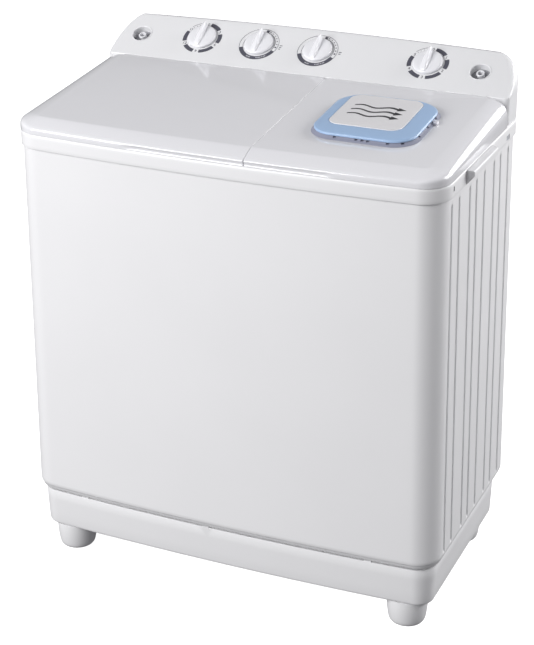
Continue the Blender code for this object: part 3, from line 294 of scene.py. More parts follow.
def rounded(points, radius, steps=4, closed=True):
    """Replace each corner of a 2D outline by a small arc."""
    result = []
    count = len(points)
    for i, point in enumerate(points):
        here = Vector(point)
        before, after = Vector(points[i - 1]), Vector(points[(i + 1) % count])
        if (not closed and i in (0, count - 1)) or (here[0] < 1e-7):
            result.append(tuple(here))
            continue
        a, b = before - here, after - here
        reach = min(radius, a.length * 0.45, b.length * 0.45)
        if reach < 1e-6:
            result.append(tuple(here))
            continue
        start, end = here + a.normalized() * reach, here + b.normalized() * reach
        for k in range(steps + 1):
            t = k / steps
            result.append(tuple(start * (1 - t) ** 2 + here * 2 * t * (1 - t) + end * t * t))
    return result


def round_rect(x0, x1, y0, y1, radius, arc=8):
    points = []
    corners = ((x0 + radius, y0 + radius, 180), (x1 - radius, y0 + radius, 270),
               (x1 - radius, y1 - radius, 0), (x0 + radius, y1 - radius, 90))
    for cx, cy, start in corners:
        for i in range(arc + 1):
            angle = math.radians(start + 90.0 * i / arc)
            points.append((cx + radius * math.cos(angle), cy + radius * math.sin(angle)))
    return points


def prism(name, outline, low, high, place=None, mat=None, sharp=38.0):
    place = place or Matrix.Identity(4)
    rows = [[place @ Vector((x, y, z)) for x, y in outline] for z in (low, high)]
    return loft(name, rows, sharp=sharp, mat=mat)


def block(name, low, high, mat=None):
    (x0, y0, z0), (x1, y1, z1) = low, high
    return prism(name, [(x0, y0), (x1, y0), (x1, y1), (x0, y1)], z0, z1, mat=mat)


def apply_modifiers(obj):
    """Bake the modifier stack into the mesh."""
    graph = bpy.context.evaluated_depsgraph_get()
    mesh = bpy.data.meshes.new_from_object(obj.evaluated_get(graph))
    obj.modifiers.clear()
    obj.data = mesh


def boolean(target, others, operation):
    """Cut or join helpers into the target and remove them."""
    for other in others:
        mod = target.modifiers.new("bool", "BOOLEAN")
        mod.operation = operation
        mod.solver = "EXACT"
        mod.object = other
    apply_modifiers(target)
    for other in others:
        bpy.data.objects.remove(other, do_unlink=True)


def cut(target, *others):
    boolean(target, others, "DIFFERENCE")


def join(target, *others):
    boolean(target, others, "UNION")


def merge(name, parts):
    """One object from several separate closed bodies."""
    work = bmesh.new()
    for part in parts:
        work.from_mesh(part.data)
    mesh = bpy.data.meshes.new(name)
    work.to_mesh(mesh)
    work.free()
    obj = bpy.data.objects.new(name, mesh)
    bpy.context.scene.collection.objects.link(obj)
    for slot_mat in parts[0].data.materials:
        mesh.materials.append(slot_mat)
    for part in parts:
        bpy.data.objects.remove(part, do_unlink=True)
    return obj


def bevel(obj, width, segments=2, angle=35.0):
    mod = obj.modifiers.new("bevel", "BEVEL")
    mod.width = width
    mod.segments = segments
    mod.limit_method = "ANGLE"
    mod.angle_limit = math.radians(angle)
    mod.harden_normals = False
    apply_modifiers(obj)


def finish_piece(obj, body, mat, nodes=(), sharp=38.0):
    """Carry a piece into the frame, then give it its body, finish and replaced nodes."""
    obj.data.transform(Matrix.Translation((0.0, -HALF_DEPTH, FLOOR_SHIFT)))
    obj.data.materials.clear()
    obj.data.materials.append(mat)
    smooth_shade(obj.data, sharp)
    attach(obj, body)
    if nodes:
        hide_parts(*nodes)
    return obj


# ---------------------------------------------------------------- shared curved outline
def taper_scale(z):
    return 1.0 - TAPER * ((z - TAPER_LOW) / TAPER_SPAN - 0.5)


def shell_point(x, d, z):
    fade = min(1.0, max(0.0, 1.0 - d / BOW_FADE))
    bulge = FRONT_BOW * (1.0 - (2.0 * x / WIDTH) ** 2)
    return Vector((x * taper_scale(z), d - bulge * fade, z))


def ring_plan(x0, x1, d0, d1, radii, z, bend=True, front_steps=40, side_steps=8, rear_steps=6, arc=12):
    """Closed plan outline; radii in the order front left, front right, rear right, rear left."""
    rfl, rfr, rrr, rrl = radii
    points = []

    def corner(cx, cy, radius, start):
        for i in range(arc + 1):
            angle = math.radians(start + 90.0 * i / arc)
            points.append((cx + radius * math.cos(angle), cy + radius * math.sin(angle)))

    def side(ax, ay, bx, by, steps):
        for i in range(1, steps):
            t = i / steps
            points.append((ax + (bx - ax) * t, ay + (by - ay) * t))

    corner(x0 + rfl, d0 + rfl, rfl, 180)
    side(x0 + rfl, d0, x1 - rfr, d0, front_steps)
    corner(x1 - rfr, d0 + rfr, rfr, 270)
    side(x1, d0 + rfr, x1, d1 - rrr, side_steps)
    corner(x1 - rrr, d1 - rrr, rrr, 0)
    side(x1 - rrr, d1, x0 + rrl, d1, rear_steps)
    corner(x0 + rrl, d1 - rrl, rrl, 90)
    side(x0, d1 - rrl, x0, d0 + rfl, side_steps)
    if bend:
        return [shell_point(x, d, z) for x, d in points]
    return [Vector((x, d, z)) for x, d in points]


def hull_ring(z, inset, rear=CORNER_REAR):
    half = WIDTH / 2.0 - inset
    rf, rr = CORNER_FRONT - inset, rear - inset
    return ring_plan(-half, half, inset, DEPTH - inset, (rf, rf, rr, rr), z)


# ---------------------------------------------------------------- cabinet
def groove_section(off):
    """Depth share of a groove at an offset from its middle: flat floor between eased flanks."""
    floor = GROOVE_FLOOR / 2.0
    t = max(0.0, abs(off) - floor) / (GROOVE_WIDTH / 2.0 - floor)
    t = min(1.0, t)
    return 1.0 - t * t * (3.0 - 2.0 * t)


def cabinet_outline(inset, groove):
    """Open C from the left rear flange round the front to the right rear flange."""
    half = WIDTH / 2.0 - inset
    front, rear = inset, DEPTH - inset
    r_front, r_rear = CORNER_FRONT - inset, CORNER_REAR - inset
    right = []
    for i in range(24):
        right.append(((half - r_front) * (i + 0.5) / 24.0, front))
    for i in range(19):
        angle = math.radians(270 + 5.0 * i)
        right.append((half - r_front + r_front * math.cos(angle),
                      front + r_front + r_front * math.sin(angle)))
    offsets = [GROOVE_WIDTH / 2.0 * k / 8.0 for k in range(-8, 9)]
    for d in GROOVES:
        right.append((half, d - GROOVE_WIDTH * 0.56))
        for off in offsets:
            right.append((half - groove_section(off) * groove, d + off))
        right.append((half, d + GROOVE_WIDTH * 0.56))
    for i in range(13):
        angle = math.radians(7.5 * i)
        right.append((half - r_rear + r_rear * math.cos(angle), rear - r_rear + r_rear * math.sin(angle)))
    right.append((FLANGE_X, rear))
    # keep the depth increasing where a groove meets the front corner
    for i in range(1, len(right)):
        if 24 <= i < len(right) - 14 and right[i][1] < right[i - 1][1]:
            right[i] = (right[i][0], right[i - 1][1] + 1e-5)
    left = [(-x, d) for x, d in reversed(right)]
    return left + right


def build_cabinet():
    curl = ((0.0, 0.0105), (0.0004, 0.0088), (0.0010, 0.0076), (0.0020, 0.0064), (0.0034, 0.0052),
            (0.0054, 0.0040), (0.0080, 0.0030), (0.0108, 0.0023), (0.0118, 0.0012), (0.0140, 0.0004),
            (0.0180, 0.0001))
    levels = [(Z_CAB_LOW + rise, inset, 0.0) for rise, inset in curl]
    for i in range(7):
        t = i / 6.0
        levels.append((Z_GROOVE_LOW + 0.0005 + 0.0080 * t, 0.0, GROOVE_DEPTH * math.sin(t * math.pi / 2)))
    for i in range(1, 24):
        start = Z_GROOVE_LOW + 0.0085
        levels.append((start + (Z_GROOVE_TOP - 0.0085 - start) * i / 24.0, 0.0, GROOVE_DEPTH))
    for i in range(7):
        t = i / 6.0
        levels.append((Z_GROOVE_TOP - 0.0080 + 0.0080 * t, 0.0, GROOVE_DEPTH * math.cos(t * math.pi / 2)))
    levels += [(0.8700, 0.0, 0.0), (Z_CAB_TOP, 0.0, 0.0)]
    outer = [[shell_point(x, d, z) for x, d in cabinet_outline(inset, groove)] for z, inset,
             groove in levels]
    inner = []
    for z, inset in ((Z_CAB_LOW, 0.0105 + WALL), (Z_GROOVE_LOW + 0.005, WALL), (0.5, WALL),
                     (Z_CAB_TOP, WALL)):
        inner.append([shell_point(x, d, z) for x, d in cabinet_outline(inset, 0)])
    count = len(outer[0])
    verts = [p for row in outer + inner for p in row]
    base = len(outer) * count
    faces = []
    for i in range(len(outer) - 1):
        for j in range(count - 1):
            a = i * count + j
            faces.append((a, a + 1, a + count + 1, a + count))
    for i in range(len(inner) - 1):
        for j in range(count - 1):
            a = base + i * count + j
            faces.append((a, a + count, a + count + 1, a + 1))
    top_out, top_in = (len(outer) - 1) * count, base + (len(inner) - 1) * count
    for j in range(count - 1):
        faces.append((j + 1, j, base + j, base + j + 1))
        faces.append((top_out + j, top_out + j + 1, top_in + j + 1, top_in + j))
    for j in (0, count - 1):
        rim = [i * count + j for i in range(len(outer))]
        rim += [base + i * count + j for i in reversed(range(len(inner)))]
        faces.append(tuple(rim))
    cabinet = add_mesh("cabinet_skin", verts, faces, 50.0)
    finish_piece(cabinet, "machine", WHITE_SATIN, ["cabinet"], 50.0)


# ---------------------------------------------------------------- base and feet
def build_base():
    outer = ((Z_FOOT_TOP, 0.0200), (0.0513, 0.0186), (0.0520, 0.0172), (0.0532, 0.0160), (0.0550, 0.0152),
             (0.0580, 0.0146), (0.0800, 0.0134), (0.1100, 0.0119), (Z_BASE_TOP - 0.0006, 0.0107),
             (Z_BASE_TOP - 0.0001, 0.0110), (Z_BASE_TOP, 0.0116))
    lip = ((Z_BASE_TOP + 0.0001, 0.0168), (Z_BASE_TOP + 0.0009, 0.0174), (Z_BASE_TOP + 0.0079, 0.0180),
           (Z_BASE_TOP + 0.0085, 0.0186), (Z_BASE_TOP + 0.0085, 0.0210))
    inner = ((Z_BASE_TOP - 0.0035, 0.0214), (0.0560, 0.0260))
    base = loft("base_skin", [hull_ring(z, inset, BASE_CORNER_REAR) for z, inset in outer + lip + inner])
    slots = []
    for x0 in (-0.250, 0.000):
        for i in range(3):
            d = 0.180 + 0.045 * i
            slots.append(prism("slot", round_rect(x0, x0 + 0.120, d, d + 0.016, 0.0075, 5), 0.030, 0.070))
    cut(base, *slots)
    tabs = []
    for x in (-0.316, -0.040, 0.300):
        bulge = FRONT_BOW * (1.0 - (2.0 * x / WIDTH) ** 2)
        tabs.append(block("tab", (x - 0.007, 0.0118 - bulge, Z_BASE_TOP - 0.0035),
                          (x + 0.007, 0.0200 - bulge, Z_CAB_LOW - 0.0002)))
    join(base, *tabs)
    finish_piece(base, "machine", WHITE_SATIN, ["base"], 44.0)


def build_feet():
    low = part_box("foot_front_left")[0].z - FLOOR_SHIFT
    top = Z_FOOT_TOP - 0.0004
    profile = [(0, low), (0.0225, low), (0.0262, low + 0.0003), (0.0300, low + 0.0012),
               (0.0330, low + 0.0030),
               (0.0353, low + 0.0060), (0.0366, low + 0.0095), (0.0378, low + 0.0150),
               (0.0395, low + 0.0300),
               (0.0410, top - 0.0010), (0.0408, top), (0, top)]
    for end in ("front", "rear"):
        for side in ("left", "right"):
            node = "foot_%s_%s" % (end, side)
            lo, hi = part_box(node)
            center = ((lo.x + hi.x) / 2, (lo.y + hi.y) / 2 + HALF_DEPTH, 0)
            foot = lathe(node + "_skin", profile, center, 72)
            finish_piece(foot, "machine", WHITE_SATIN, [node], 40.0)


# ---------------------------------------------------------------- deck with its band
SIDE_SLOT_D, REAR_SLOT_D = 0.0475, 0.3700


def build_hand_holds():
    """Level hood on each side of the band, open underneath for the fingers."""
    for side, tag in ((-1, "left"), (1, "right")):
        wall = WIDTH / 2.0 * taper_scale(0.89) + 0.0045
        inner, outer = side * (wall + 0.0003), side * (wall + 0.0150)
        section = [(inner, 0.8780), (inner, 0.9052), (outer - side * 0.0040, 0.9052),
                   (outer - side * 0.0018, 0.9048), (outer - side * 0.0004, 0.9038), (outer, 0.9022),
                   (outer, 0.8950)]
        rows = []
        for d, trim in ((0.1200, 0.0003), (0.1205, 0.0), (0.2600, 0.0), (0.2640, 0.0012), (0.2675, 0.0036),
                        (0.2695, 0.0068), (0.2700, 0.0085)):
            rows.append([Vector((x - side * trim if abs(x) > abs(inner) + 0.003 else x, d, z))
                         for x, z in section])
        hood = loft("hand_hold_%s_skin" % tag, rows)
        near, far = inner - side * 0.0010, outer - side * 0.0022
        cut(hood, block("hollow", (min(near, far), 0.1222, 0.8600), (max(near, far), 0.2600, 0.9026)))
        bevel(hood, 0.0005, 2, 40.0)
        finish_piece(hood, "machine", WHITE_SATIN, ["hand_hold_" + tag], 24.0)


def build_deck():
    over = 0.0045
    rows = []
    section = ((0.9035, 0.0120), (0.8990, 0.0050), (0.8776, -0.0013), (0.8776, -over + 0.0008),
               (0.8780, -over + 0.0002), (0.8786, -over), (0.8850, -over), (0.8940, -over), (0.9000, -over),
               (0.9040, -over + 0.0003), (0.9053, -over + 0.0010), (0.9061, -over + 0.0022),
               (Z_DECK, -over + 0.0040))
    for z, inset in section:
        rows.append(hull_ring(z, inset))
    deck = loft("deck_skin", rows)
    wash = prism("mouth", round_rect(WASH_X0 + 0.002, WASH_X1 - 0.002, WASH_D0 + 0.002, WASH_D1 - 0.010,
                                     WASH_R, 12), 0.89, 0.92)
    angles = [2.0 * math.pi * i / 72 for i in range(72)]
    spin = prism("mouth", [(SPIN_X + (SPIN_R - 0.010) * math.cos(a),
                            SPIN_D + (SPIN_R - 0.010) * math.sin(a))
                           for a in angles], 0.89, 0.92)
    cut(deck, wash, spin)
    slots, shade_inserts = [], []
    for side in (-1, 1):
        slot_x = side * (WIDTH / 2.0 * taper_scale(0.88) + over)
        for d0, d1, z0, z1, depth in ((SIDE_SLOT_D, SIDE_SLOT_D + 0.0066, 0.8893, 0.8983, 0.0035),
                                      (REAR_SLOT_D - 0.0040, REAR_SLOT_D + 0.0160, 0.8815, 0.8915, 0.0022)):
            x0, x1 = slot_x - side * depth, slot_x + side * 0.0010
            slots.append(block("slot", (min(x0, x1), d0, z0), (max(x0, x1), d1, z1)))
            # dark block set inside each slot: painted shade for the shadowed hollow
            x0, x1 = x0 + side * 0.0001, x0 + side * 0.0012
            shade_inserts.append(block("shade_insert", (min(x0, x1), d0 + 0.0003, z0 + 0.0003),
                               (max(x0, x1), d1 - 0.0003, z1 - 0.0003)))
    cut(deck, *slots)
    # painted shade: black blocks darken the side slots, dark grey ones the rear recesses
    finish_piece(merge("band_slot_painted_shade", shade_inserts[::2]), "machine", SYMBOL_INK)
    finish_piece(merge("band_recess_painted_shade", shade_inserts[1::2]), "machine", GREY_PLASTIC)
    posts, bores = [], []
    for x in HINGE_POSTS:
        place = Matrix(((0, 0, 1, x), (1, 0, 0, HINGE_D), (0, 1, 0, HINGE_Z), (0, 0, 0, 1)))
        foot = Z_DECK - 0.0012 - HINGE_Z
        outline = [(0.0050 * math.cos(math.radians(a)), 0.0050 * math.sin(math.radians(a)))
                   for a in range(-60, 181, 12)]
        outline += [(-0.0200, -0.0180), (-0.0400, foot + 0.0030), (-0.0400, foot), (-0.0020, foot),
                    (-0.0020, -0.0080)]
        posts.append(prism("post", outline, -0.0042, 0.0042, place))
        bores.append(lathe("bore", [(0, -0.01), (ROD_R + 0.0002, -0.01), (ROD_R + 0.0002, 0.01), (0, 0.01)],
                           frame_to((x, HINGE_D, HINGE_Z), (1, 0, 0)), 24))
    join(deck, *posts)
    cut(deck, *bores)
    finish_piece(deck, "machine", WHITE_SATIN, ["top_frame"], 32.0)


# ---------------------------------------------------------------- lids
LIDS = (("wash_lid", -LID_SIDE_X, SEAM_X - SEAM_GAP / 2), ("spin_lid", SEAM_X + SEAM_GAP / 2, LID_SIDE_X))


def lid_ends(name, x0, x1):
    if name == "wash_lid":
        return x0 + 0.0440, x1 - 0.0060
    return x0 + 0.0060, x1 - 0.0440


HINGE_POSTS = []
for lid_name, lid_x0, lid_x1 in LIDS:
    ends = lid_ends(lid_name, lid_x0, lid_x1)
    HINGE_POSTS += [ends[0] + 0.0120, ends[1] - 0.0120]


def lid_top(d):
    return LID_FRONT_TOP + LID_SLOPE * (d - 0.023)


def lid_ring(x0, x1, inset, left, right, rise_front, rise_side, drop=0.0, scoop=0.0):
    """Lid row: how far it stands in at the front and sides, and its share of the height."""
    a, b = x0 + left, x1 - right
    inset -= LID_OVERHANG
    left_lid = x0 < -0.2
    r_left = max(0.006, CORNER_FRONT - max(left, inset)) if left_lid else 0.0022
    r_right = 0.0022 if left_lid else max(0.006, CORNER_FRONT - max(right, inset))
    plan = ring_plan(a, b, inset, HINGE_D - drop, (r_left, r_right, 0.0015, 0.0015), 0.92, True, 44, 14, 8,
                     10)
    row = []
    for point in plan:
        x = point.x / taper_scale(0.92)
        # the front profile hands over to the side profile round the corner
        corner_x = a + r_left if left_lid else b - r_right
        along = (corner_x - x) if left_lid else (x - corner_x)
        blend = min(1.0, max(0.0, along / 0.030))
        blend = blend * blend * (3 - 2 * blend)
        if point.y > CORNER_FRONT + 0.03:
            blend = 1.0
        share = rise_front + (rise_side - rise_front) * blend
        top = lid_top(point.y) - drop
        y = point.y
        if scoop and point.y < 0.016:
            reach = scoop_reach(x)
            y += scoop * reach
        row.append(Vector((x, y, Z_LID + (top - Z_LID) * share)))
    return row


def scoop_reach(x):
    """Share of the finger recess under the front edge, full over its length and fading at its ends."""
    t = min((x + 0.190) / 0.030, (0.232 - x) / 0.030)
    t = min(1.0, max(0.0, t))
    return t * t * (3 - 2 * t)


# share of the side inset, share of the front inset, share of the side height, share of the
# front height, depth of the finger recess
LID_PROFILE = (
    (0.000, 0.000, 0.00, 0.000, 0.0024), (0.000, 0.000, 0.06, 0.040, 0.0031),
               (0.000, 0.000, 0.16, 0.100, 0.0034),
    (0.000, 0.000, 0.26, 0.180, 0.0033), (0.000, 0.000, 0.34, 0.260, 0.0027),
               (0.004, 0.003, 0.42, 0.330, 0.0015),
    (0.010, 0.010, 0.48, 0.390, 0.0004), (0.024, 0.026, 0.54, 0.440, 0.0),
               (0.044, 0.052, 0.595, 0.490, 0.0),
    (0.072, 0.090, 0.650, 0.535, 0.0), (0.110, 0.140, 0.700, 0.575, 0.0), (0.160, 0.200, 0.748, 0.615, 0.0),
    (0.225, 0.280, 0.794, 0.665, 0.0), (0.300, 0.380, 0.838, 0.722, 0.0), (0.390, 0.490, 0.878, 0.782, 0.0),
    (0.490, 0.600, 0.914, 0.840, 0.0), (0.600, 0.710, 0.944, 0.893, 0.0), (0.710, 0.810, 0.968, 0.938, 0.0),
    (0.820, 0.890, 0.986, 0.970, 0.0), (0.920, 0.950, 0.9960, 0.990, 0.0), (1.000, 1.000, 1.0, 1.0, 0.0),
    (1.040, 1.060, 1.0, 1.0, 0.0))


TAIL_D = 0.3750


def build_lid(name, x0, x1):
    left_lid = name == "wash_lid"
    outer, inner = [], []
    for side_share, front_share, side_rise, front_rise, scoop in LID_PROFILE:
        crown = LID_CROWN_SIDE * side_share
        seam = 0.0004 * max(0.0, min(1.0, side_share) - 0.80) / 0.20
        left, right = (crown, seam) if left_lid else (seam, crown)
        outer.append(lid_ring(x0, x1, LID_CROWN_FRONT * front_share, left, right, front_rise, side_rise,
                              0.0,
                              scoop))
    for share, rise in ((0.0, 0.0), (0.05, 0.40), (0.16, 0.68), (0.50, 0.88), (1.0, 1.0), (1.06, 1.0)):
        crown = LID_CROWN_SIDE * share + LID_WALL
        left, right = (crown, LID_WALL) if left_lid else (LID_WALL, crown)
        inner.append(lid_ring(x0, x1, LID_CROWN_FRONT * share + LID_WALL + 0.0020, left, right, rise, rise,
                              LID_WALL))
    lid = loft(name + "_skin", list(reversed(inner)) + outer)
    low, high = lid_ends(name, x0, x1)
    cutters = [block("rear", (low, 0.3480, 0.9000), (high, 0.3900, HINGE_Z + 0.0020))]
    cut(lid, *cutters)
    length = high - low - 0.0012
    barrel = lathe("barrel", [(0, 0), (BARREL_R, 0), (BARREL_R, length), (0, length)],
                   frame_to((low + 0.0006, HINGE_D, HINGE_Z), (1, 0, 0)), 48)
    tail = [(0.3640, -0.0014), (0.3640, 0.0), (TAIL_D, 0.0), (TAIL_D + 0.0004, -0.0004),
            (TAIL_D + 0.0004, -0.0012),
            (TAIL_D, -0.0014)]
    ends = [[Vector((x, d, min(lid_top(d), HINGE_Z + BARREL_R + 0.0003) + h)) for d, h in tail]
            for x in (low + 0.0006, low + 0.0006 + length)]
    join(lid, barrel, loft("tail", ends))
    cutters = [lathe("bore", [(0, 0), (ROD_R + 0.0004, 0), (ROD_R + 0.0004, high - low - 0.0040),
                              (0, high - low - 0.0040)], frame_to((low + 0.0020, HINGE_D, HINGE_Z),
                                                                  (1, 0, 0)), 24)]
    for x in (low + 0.0120, high - 0.0120):
        cutters.append(block("gap", (x - 0.0050, HINGE_D - 0.0285, HINGE_Z - 0.0200),
                             (x + 0.0050, HINGE_D + 0.0100, HINGE_Z + 0.0054)))
    if name == "spin_lid":
        cutters.append(loft("vent", [vent_ring(0.80, 0.030, -0.010), vent_ring(0.80, 0.030, 0.004)]))
    cut(lid, *cutters)
    finish_piece(lid, name, WHITE_GLOSS, [name], 42.0)


# ---------------------------------------------------------------- vent on the spin lid
def vent_place():
    """Axes on the lid at the vent's middle: x across, y to the rear, z off the lid."""
    slope = math.atan(LID_SLOPE)
    return Matrix.Translation((VENT_X, VENT_D, lid_top(VENT_D))) @ Matrix.Rotation(slope, 4, "X")


def vent_ring(scale, radius, h, shift=0.0, stretch=1.0, arc=14):
    place = vent_place()
    half_x, half_d = VENT_HALF_X * scale, VENT_HALF_D * scale * stretch
    outline = round_rect(-half_x, half_x, -half_d, half_d, radius, arc)
    return [place @ Vector((u + PLATE_SHIFT_X * shift, v + PLATE_SHIFT_D * shift, h)) for u, v in outline]


# slots through the skirt under the frame: middle along the front, half width
SEAT_SLOTS = ((-0.0443, 0.0030), (-0.0033, 0.0028), (0.0082, 0.0028), (0.0192, 0.0028), (0.0567, 0.0030))


def build_vent_seat():
    rows = [(0.74, 0.026, -0.0050), (0.785, 0.028, -0.0050), (0.785, 0.028, 0.0004),
            (1.055, 0.0490, 0.0004),
            (1.053, 0.0490, 0.0007), (1.048, 0.0488, 0.0010), (1.030, 0.0470, 0.0021),
            (1.012, 0.0455, 0.0034),
            (0.994, 0.0438, 0.0048), (0.978, 0.0422, 0.0060), (0.74, 0.026, 0.0060)]
    seat = loft("vent_seat_skin", [vent_ring(*row) for row in rows], wrap=True)
    place = vent_place()
    slots = []
    for u, half in SEAT_SLOTS:
        slots.append(prism("slot", round_rect(u - half, u + half, -0.1060, -0.0820, 0.0010, 3),
                           0.0028, 0.0054, place))
    # one more on the rounded corner, turned to face outwards
    corner = place @ Matrix.Translation((0.0549, -0.0499, 0.0)) @ Matrix.Rotation(math.radians(38.0), 4,
                                                                                  "Z")
    slots.append(prism("slot", round_rect(-0.0030, 0.0030, -0.0560, -0.0360, 0.0010, 3), 0.0028, 0.0054,
                       corner))
    for v in (-0.045, 0.000, 0.045):
        slots.append(prism("slot", round_rect(0.0900, 0.1120, v - 0.0035, v + 0.0035, 0.0010, 3),
                           0.0028, 0.0054, place))
        slots.append(prism("slot", round_rect(-0.1120, -0.0900, v - 0.0035, v + 0.0035, 0.0010, 3),
                           0.0028, 0.0054, place))
    cut(seat, *slots)
    finish_piece(seat, "spin_lid", VENT_LAVENDER, ["vent_seat"])


def build_vent_frame():
    long = PLATE_STRETCH
    rim = ((0.725, 0.0240, 0.0064, 1.0, long), (0.988, 0.0436, 0.0064, 0.0, 1.0),
           (0.996, 0.0440, 0.0066, 0.0, 1.0),
           (1.000, 0.0440, 0.0073, 0.0, 1.0), (1.000, 0.0440, 0.0090, 0.0, 1.0),
           (0.998, 0.0438, 0.0099, 0.0, 1.0),
           (0.993, 0.0434, 0.0107, 0.0, 1.0), (0.984, 0.0428, 0.0114, 0.0, 1.0),
           (0.970, 0.0418, 0.0120, 0.06, 1.0),
           (0.910, 0.0376, 0.0129, 0.30, 1.025), (0.840, 0.0326, 0.0136, 0.58, 1.055),
           (0.770, 0.0278, 0.0140, 0.84, 1.080), (0.738, 0.0252, 0.0140, 0.96, long),
           (0.729, 0.0244, 0.0138, 1.0, long), (0.725, 0.0240, 0.0132, 1.0, long))
    rows = [vent_ring(*row) for row in rim]
    piece = loft("vent_frame_skin", rows, wrap=True)
    finish_piece(piece, "spin_lid", VENT_BLUE, ["vent_frame"])


def build_vent_plate():
    rows = [(0.715, 0.0070), (0.719, 0.0110), (0.719, 0.0138), (0.716, 0.0145), (0.709, 0.0148),
            (0.685, 0.0149)]
    plate = loft("vent_plate_skin", [vent_ring(scale, 0.022, h, 1.0, PLATE_STRETCH) for scale, h in rows])
    finish_piece(plate, "spin_lid", VENT_GREY, ["vent_plate"])


def build_vent_clip():
    clip = prism("vent_clip", round_rect(0.1005, 0.1095, 0.022, 0.034, 0.002, 4), 0.0006, 0.0062,
                 vent_place())
    bevel(clip, 0.0006, 2)
    finish_piece(clip, "spin_lid", CLIP_CLEAR)


def build_vent():
    build_vent_seat()
    build_vent_frame()
    build_vent_plate()
    build_air_symbol(vent_place())
    build_vent_clip()


def build_air_symbol(place):
    """Three wavy arrows for moving air, printed on the plate."""
    parts = []
    for v in (-0.0210, 0.0, 0.0210):
        upper, lower = [], []
        steps = 36
        for i in range(steps + 1):
            t = i / steps
            u = PLATE_SHIFT_X - 0.0500 + 0.0840 * t
            mid = PLATE_SHIFT_D + v + 0.0044 * math.sin(3.0 * math.pi * t)
            half = 0.0022 + 0.0012 * t
            upper.append((u, mid + half))
            lower.append((u, mid - half))
        tip = PLATE_SHIFT_X + 0.0340
        head = [(tip, PLATE_SHIFT_D + v - 0.0082), (tip + 0.0165, PLATE_SHIFT_D + v),
                (tip, PLATE_SHIFT_D + v + 0.0082)]
        parts.append(prism("wave", lower + head + list(reversed(upper)), 0.01485, 0.01502, place))
    symbol = merge("vent_symbol", parts)
    finish_piece(symbol, "spin_lid", SYMBOL_INK)


# ---------------------------------------------------------------- console
def face_point(x, s, height=0.0):
    return Vector((x, FACE_FOOT_D + s * math.cos(FACE_ANGLE) - height * math.sin(FACE_ANGLE),
                   FACE_FOOT_Z + s * math.sin(FACE_ANGLE) + height * math.cos(FACE_ANGLE)))


def console_ring(s, lift, inset, step=0.0):
    """Row of the console: s below zero is the foot wall, above zero the sloping face."""
    half = CONSOLE_HALF - inset
    left = half
    if s > 0:
        rounding = 1.0 - math.sqrt(max(0.0, 1.0 - (s / 0.1185) ** 2))
        half -= END_CUT_RIGHT * rounding
        left -= END_CUT_LEFT * rounding
    d0 = FACE_FOOT_D + max(0.0, s) * math.cos(FACE_ANGLE) + inset + step
    d1 = CONSOLE_BACK - inset
    r_front = min(0.010, (d1 - d0) * 0.40)
    r_rear = min(0.050, (d1 - d0) * 0.55)
    plan = ring_plan(-half, half, d0, d1, (r_front, r_front, r_rear, r_rear), 0.0, False, 36, 6, 36, 8)
    row = []
    for point in plan:
        crown = max(0.0, 1.0 - (point.x / 0.400) ** 2) * FACE_CROWN * max(0.0, s)
        z = FACE_FOOT_Z + s * math.sin(FACE_ANGLE) if s > 0 else FACE_FOOT_Z + s
        x = point.x * left / half if point.x < 0.0 else point.x
        row.append(Vector((x, point.y + crown * math.cos(FACE_ANGLE),
                           z + crown * math.sin(FACE_ANGLE) + lift)))
    return row


def build_console():
    foot = Z_DECK + 0.0004 - FACE_FOOT_Z
    outer = [console_ring(foot, 0.0, 0.0), console_ring(-0.0030, 0.0, 0.0),
             console_ring(-0.0008, 0.0, 0.0002),
             console_ring(0.0008, 0.0, 0.0)]
    for i in range(1, 17):
        outer.append(console_ring((FACE_LENGTH - 0.0060) * i / 16.0, 0.0, 0.0))
    for s, inset, lift in ((0.0026, 0.0004, 0.0), (0.0014, 0.0010, 0.0), (0.0006, 0.0020, -0.0001),
                           (0.0, 0.0036, -0.0002)):
        outer.append(console_ring(FACE_LENGTH - s, lift, inset))
    inner = [console_ring(s, -0.0032 if s > 0 else 0.0, 0.0028) for s in (foot, 0.0, 0.0300, 0.0600,
                                                                          0.0960)]
    console = loft("console_skin", list(reversed(inner)) + outer)
    cutters = []
    for x in KNOB_X:
        cutters.append(lathe("hole", [(0, -0.03), (0.0085, -0.03), (0.0085, 0.01), (0, 0.01)],
                             face_frame(x, KNOB_S), 32))
    for x in WELL_X:
        cutters.append(lathe("hole", [(0, -0.03), (0.0208, -0.03), (0.0208, 0.01), (0, 0.01)],
                             face_frame(x, WELL_S), 64))
    cut(console, *cutters)
    finish_piece(console, "machine", CONSOLE_WHITE, ["console"], 30.0)


def build_wells():
    for side, x in (("left", WELL_X[0]), ("right", WELL_X[1])):
        place = face_frame(x, WELL_S)
        profile = rounded([(0.0078, -0.0180), (0.0190, -0.0180), (0.0205, -0.0160), (0.0206, 0.0003),
                           (0.0220, 0.0003), (0.0218, 0.0009), (0.0200, 0.0009), (0.0190, -0.0004),
                           (0.0189, -0.0160), (0.0078, -0.0160)], 0.0007, 4)
        well = lathe("inlet_well_%s_skin" % side, profile, place, 72)
        finish_piece(well, "machine", CONSOLE_WHITE, ["inlet_well_" + side])
        # dark grey ring on the well floor: painted shade for the shadow round the spigot's foot, not a
        # separate seal
        seal = lathe("inlet_well_shade_" + side, rounded([(0.0086, -0.0158), (0.0187, -0.0158), (0.0187, -0.0138),
                                                    (0.0180, -0.0132), (0.0086, -0.0138)], 0.0004, 3),
                     place,
                     64)
        finish_piece(seal, "machine", WELL_SHADE_GREY)
        profile = rounded([(0.0050, -0.0300), (0.0074, -0.0300), (0.0074, -0.0080), (0.0082, -0.0066),
                           (0.0078, -0.0035), (0.0050, -0.0035)], 0.0008, 4)
        spigot = lathe("inlet_spigot_%s_skin" % side, profile, place, 48)
        finish_piece(spigot, "machine", KNOB_WHITE, ["inlet_spigot_" + side])


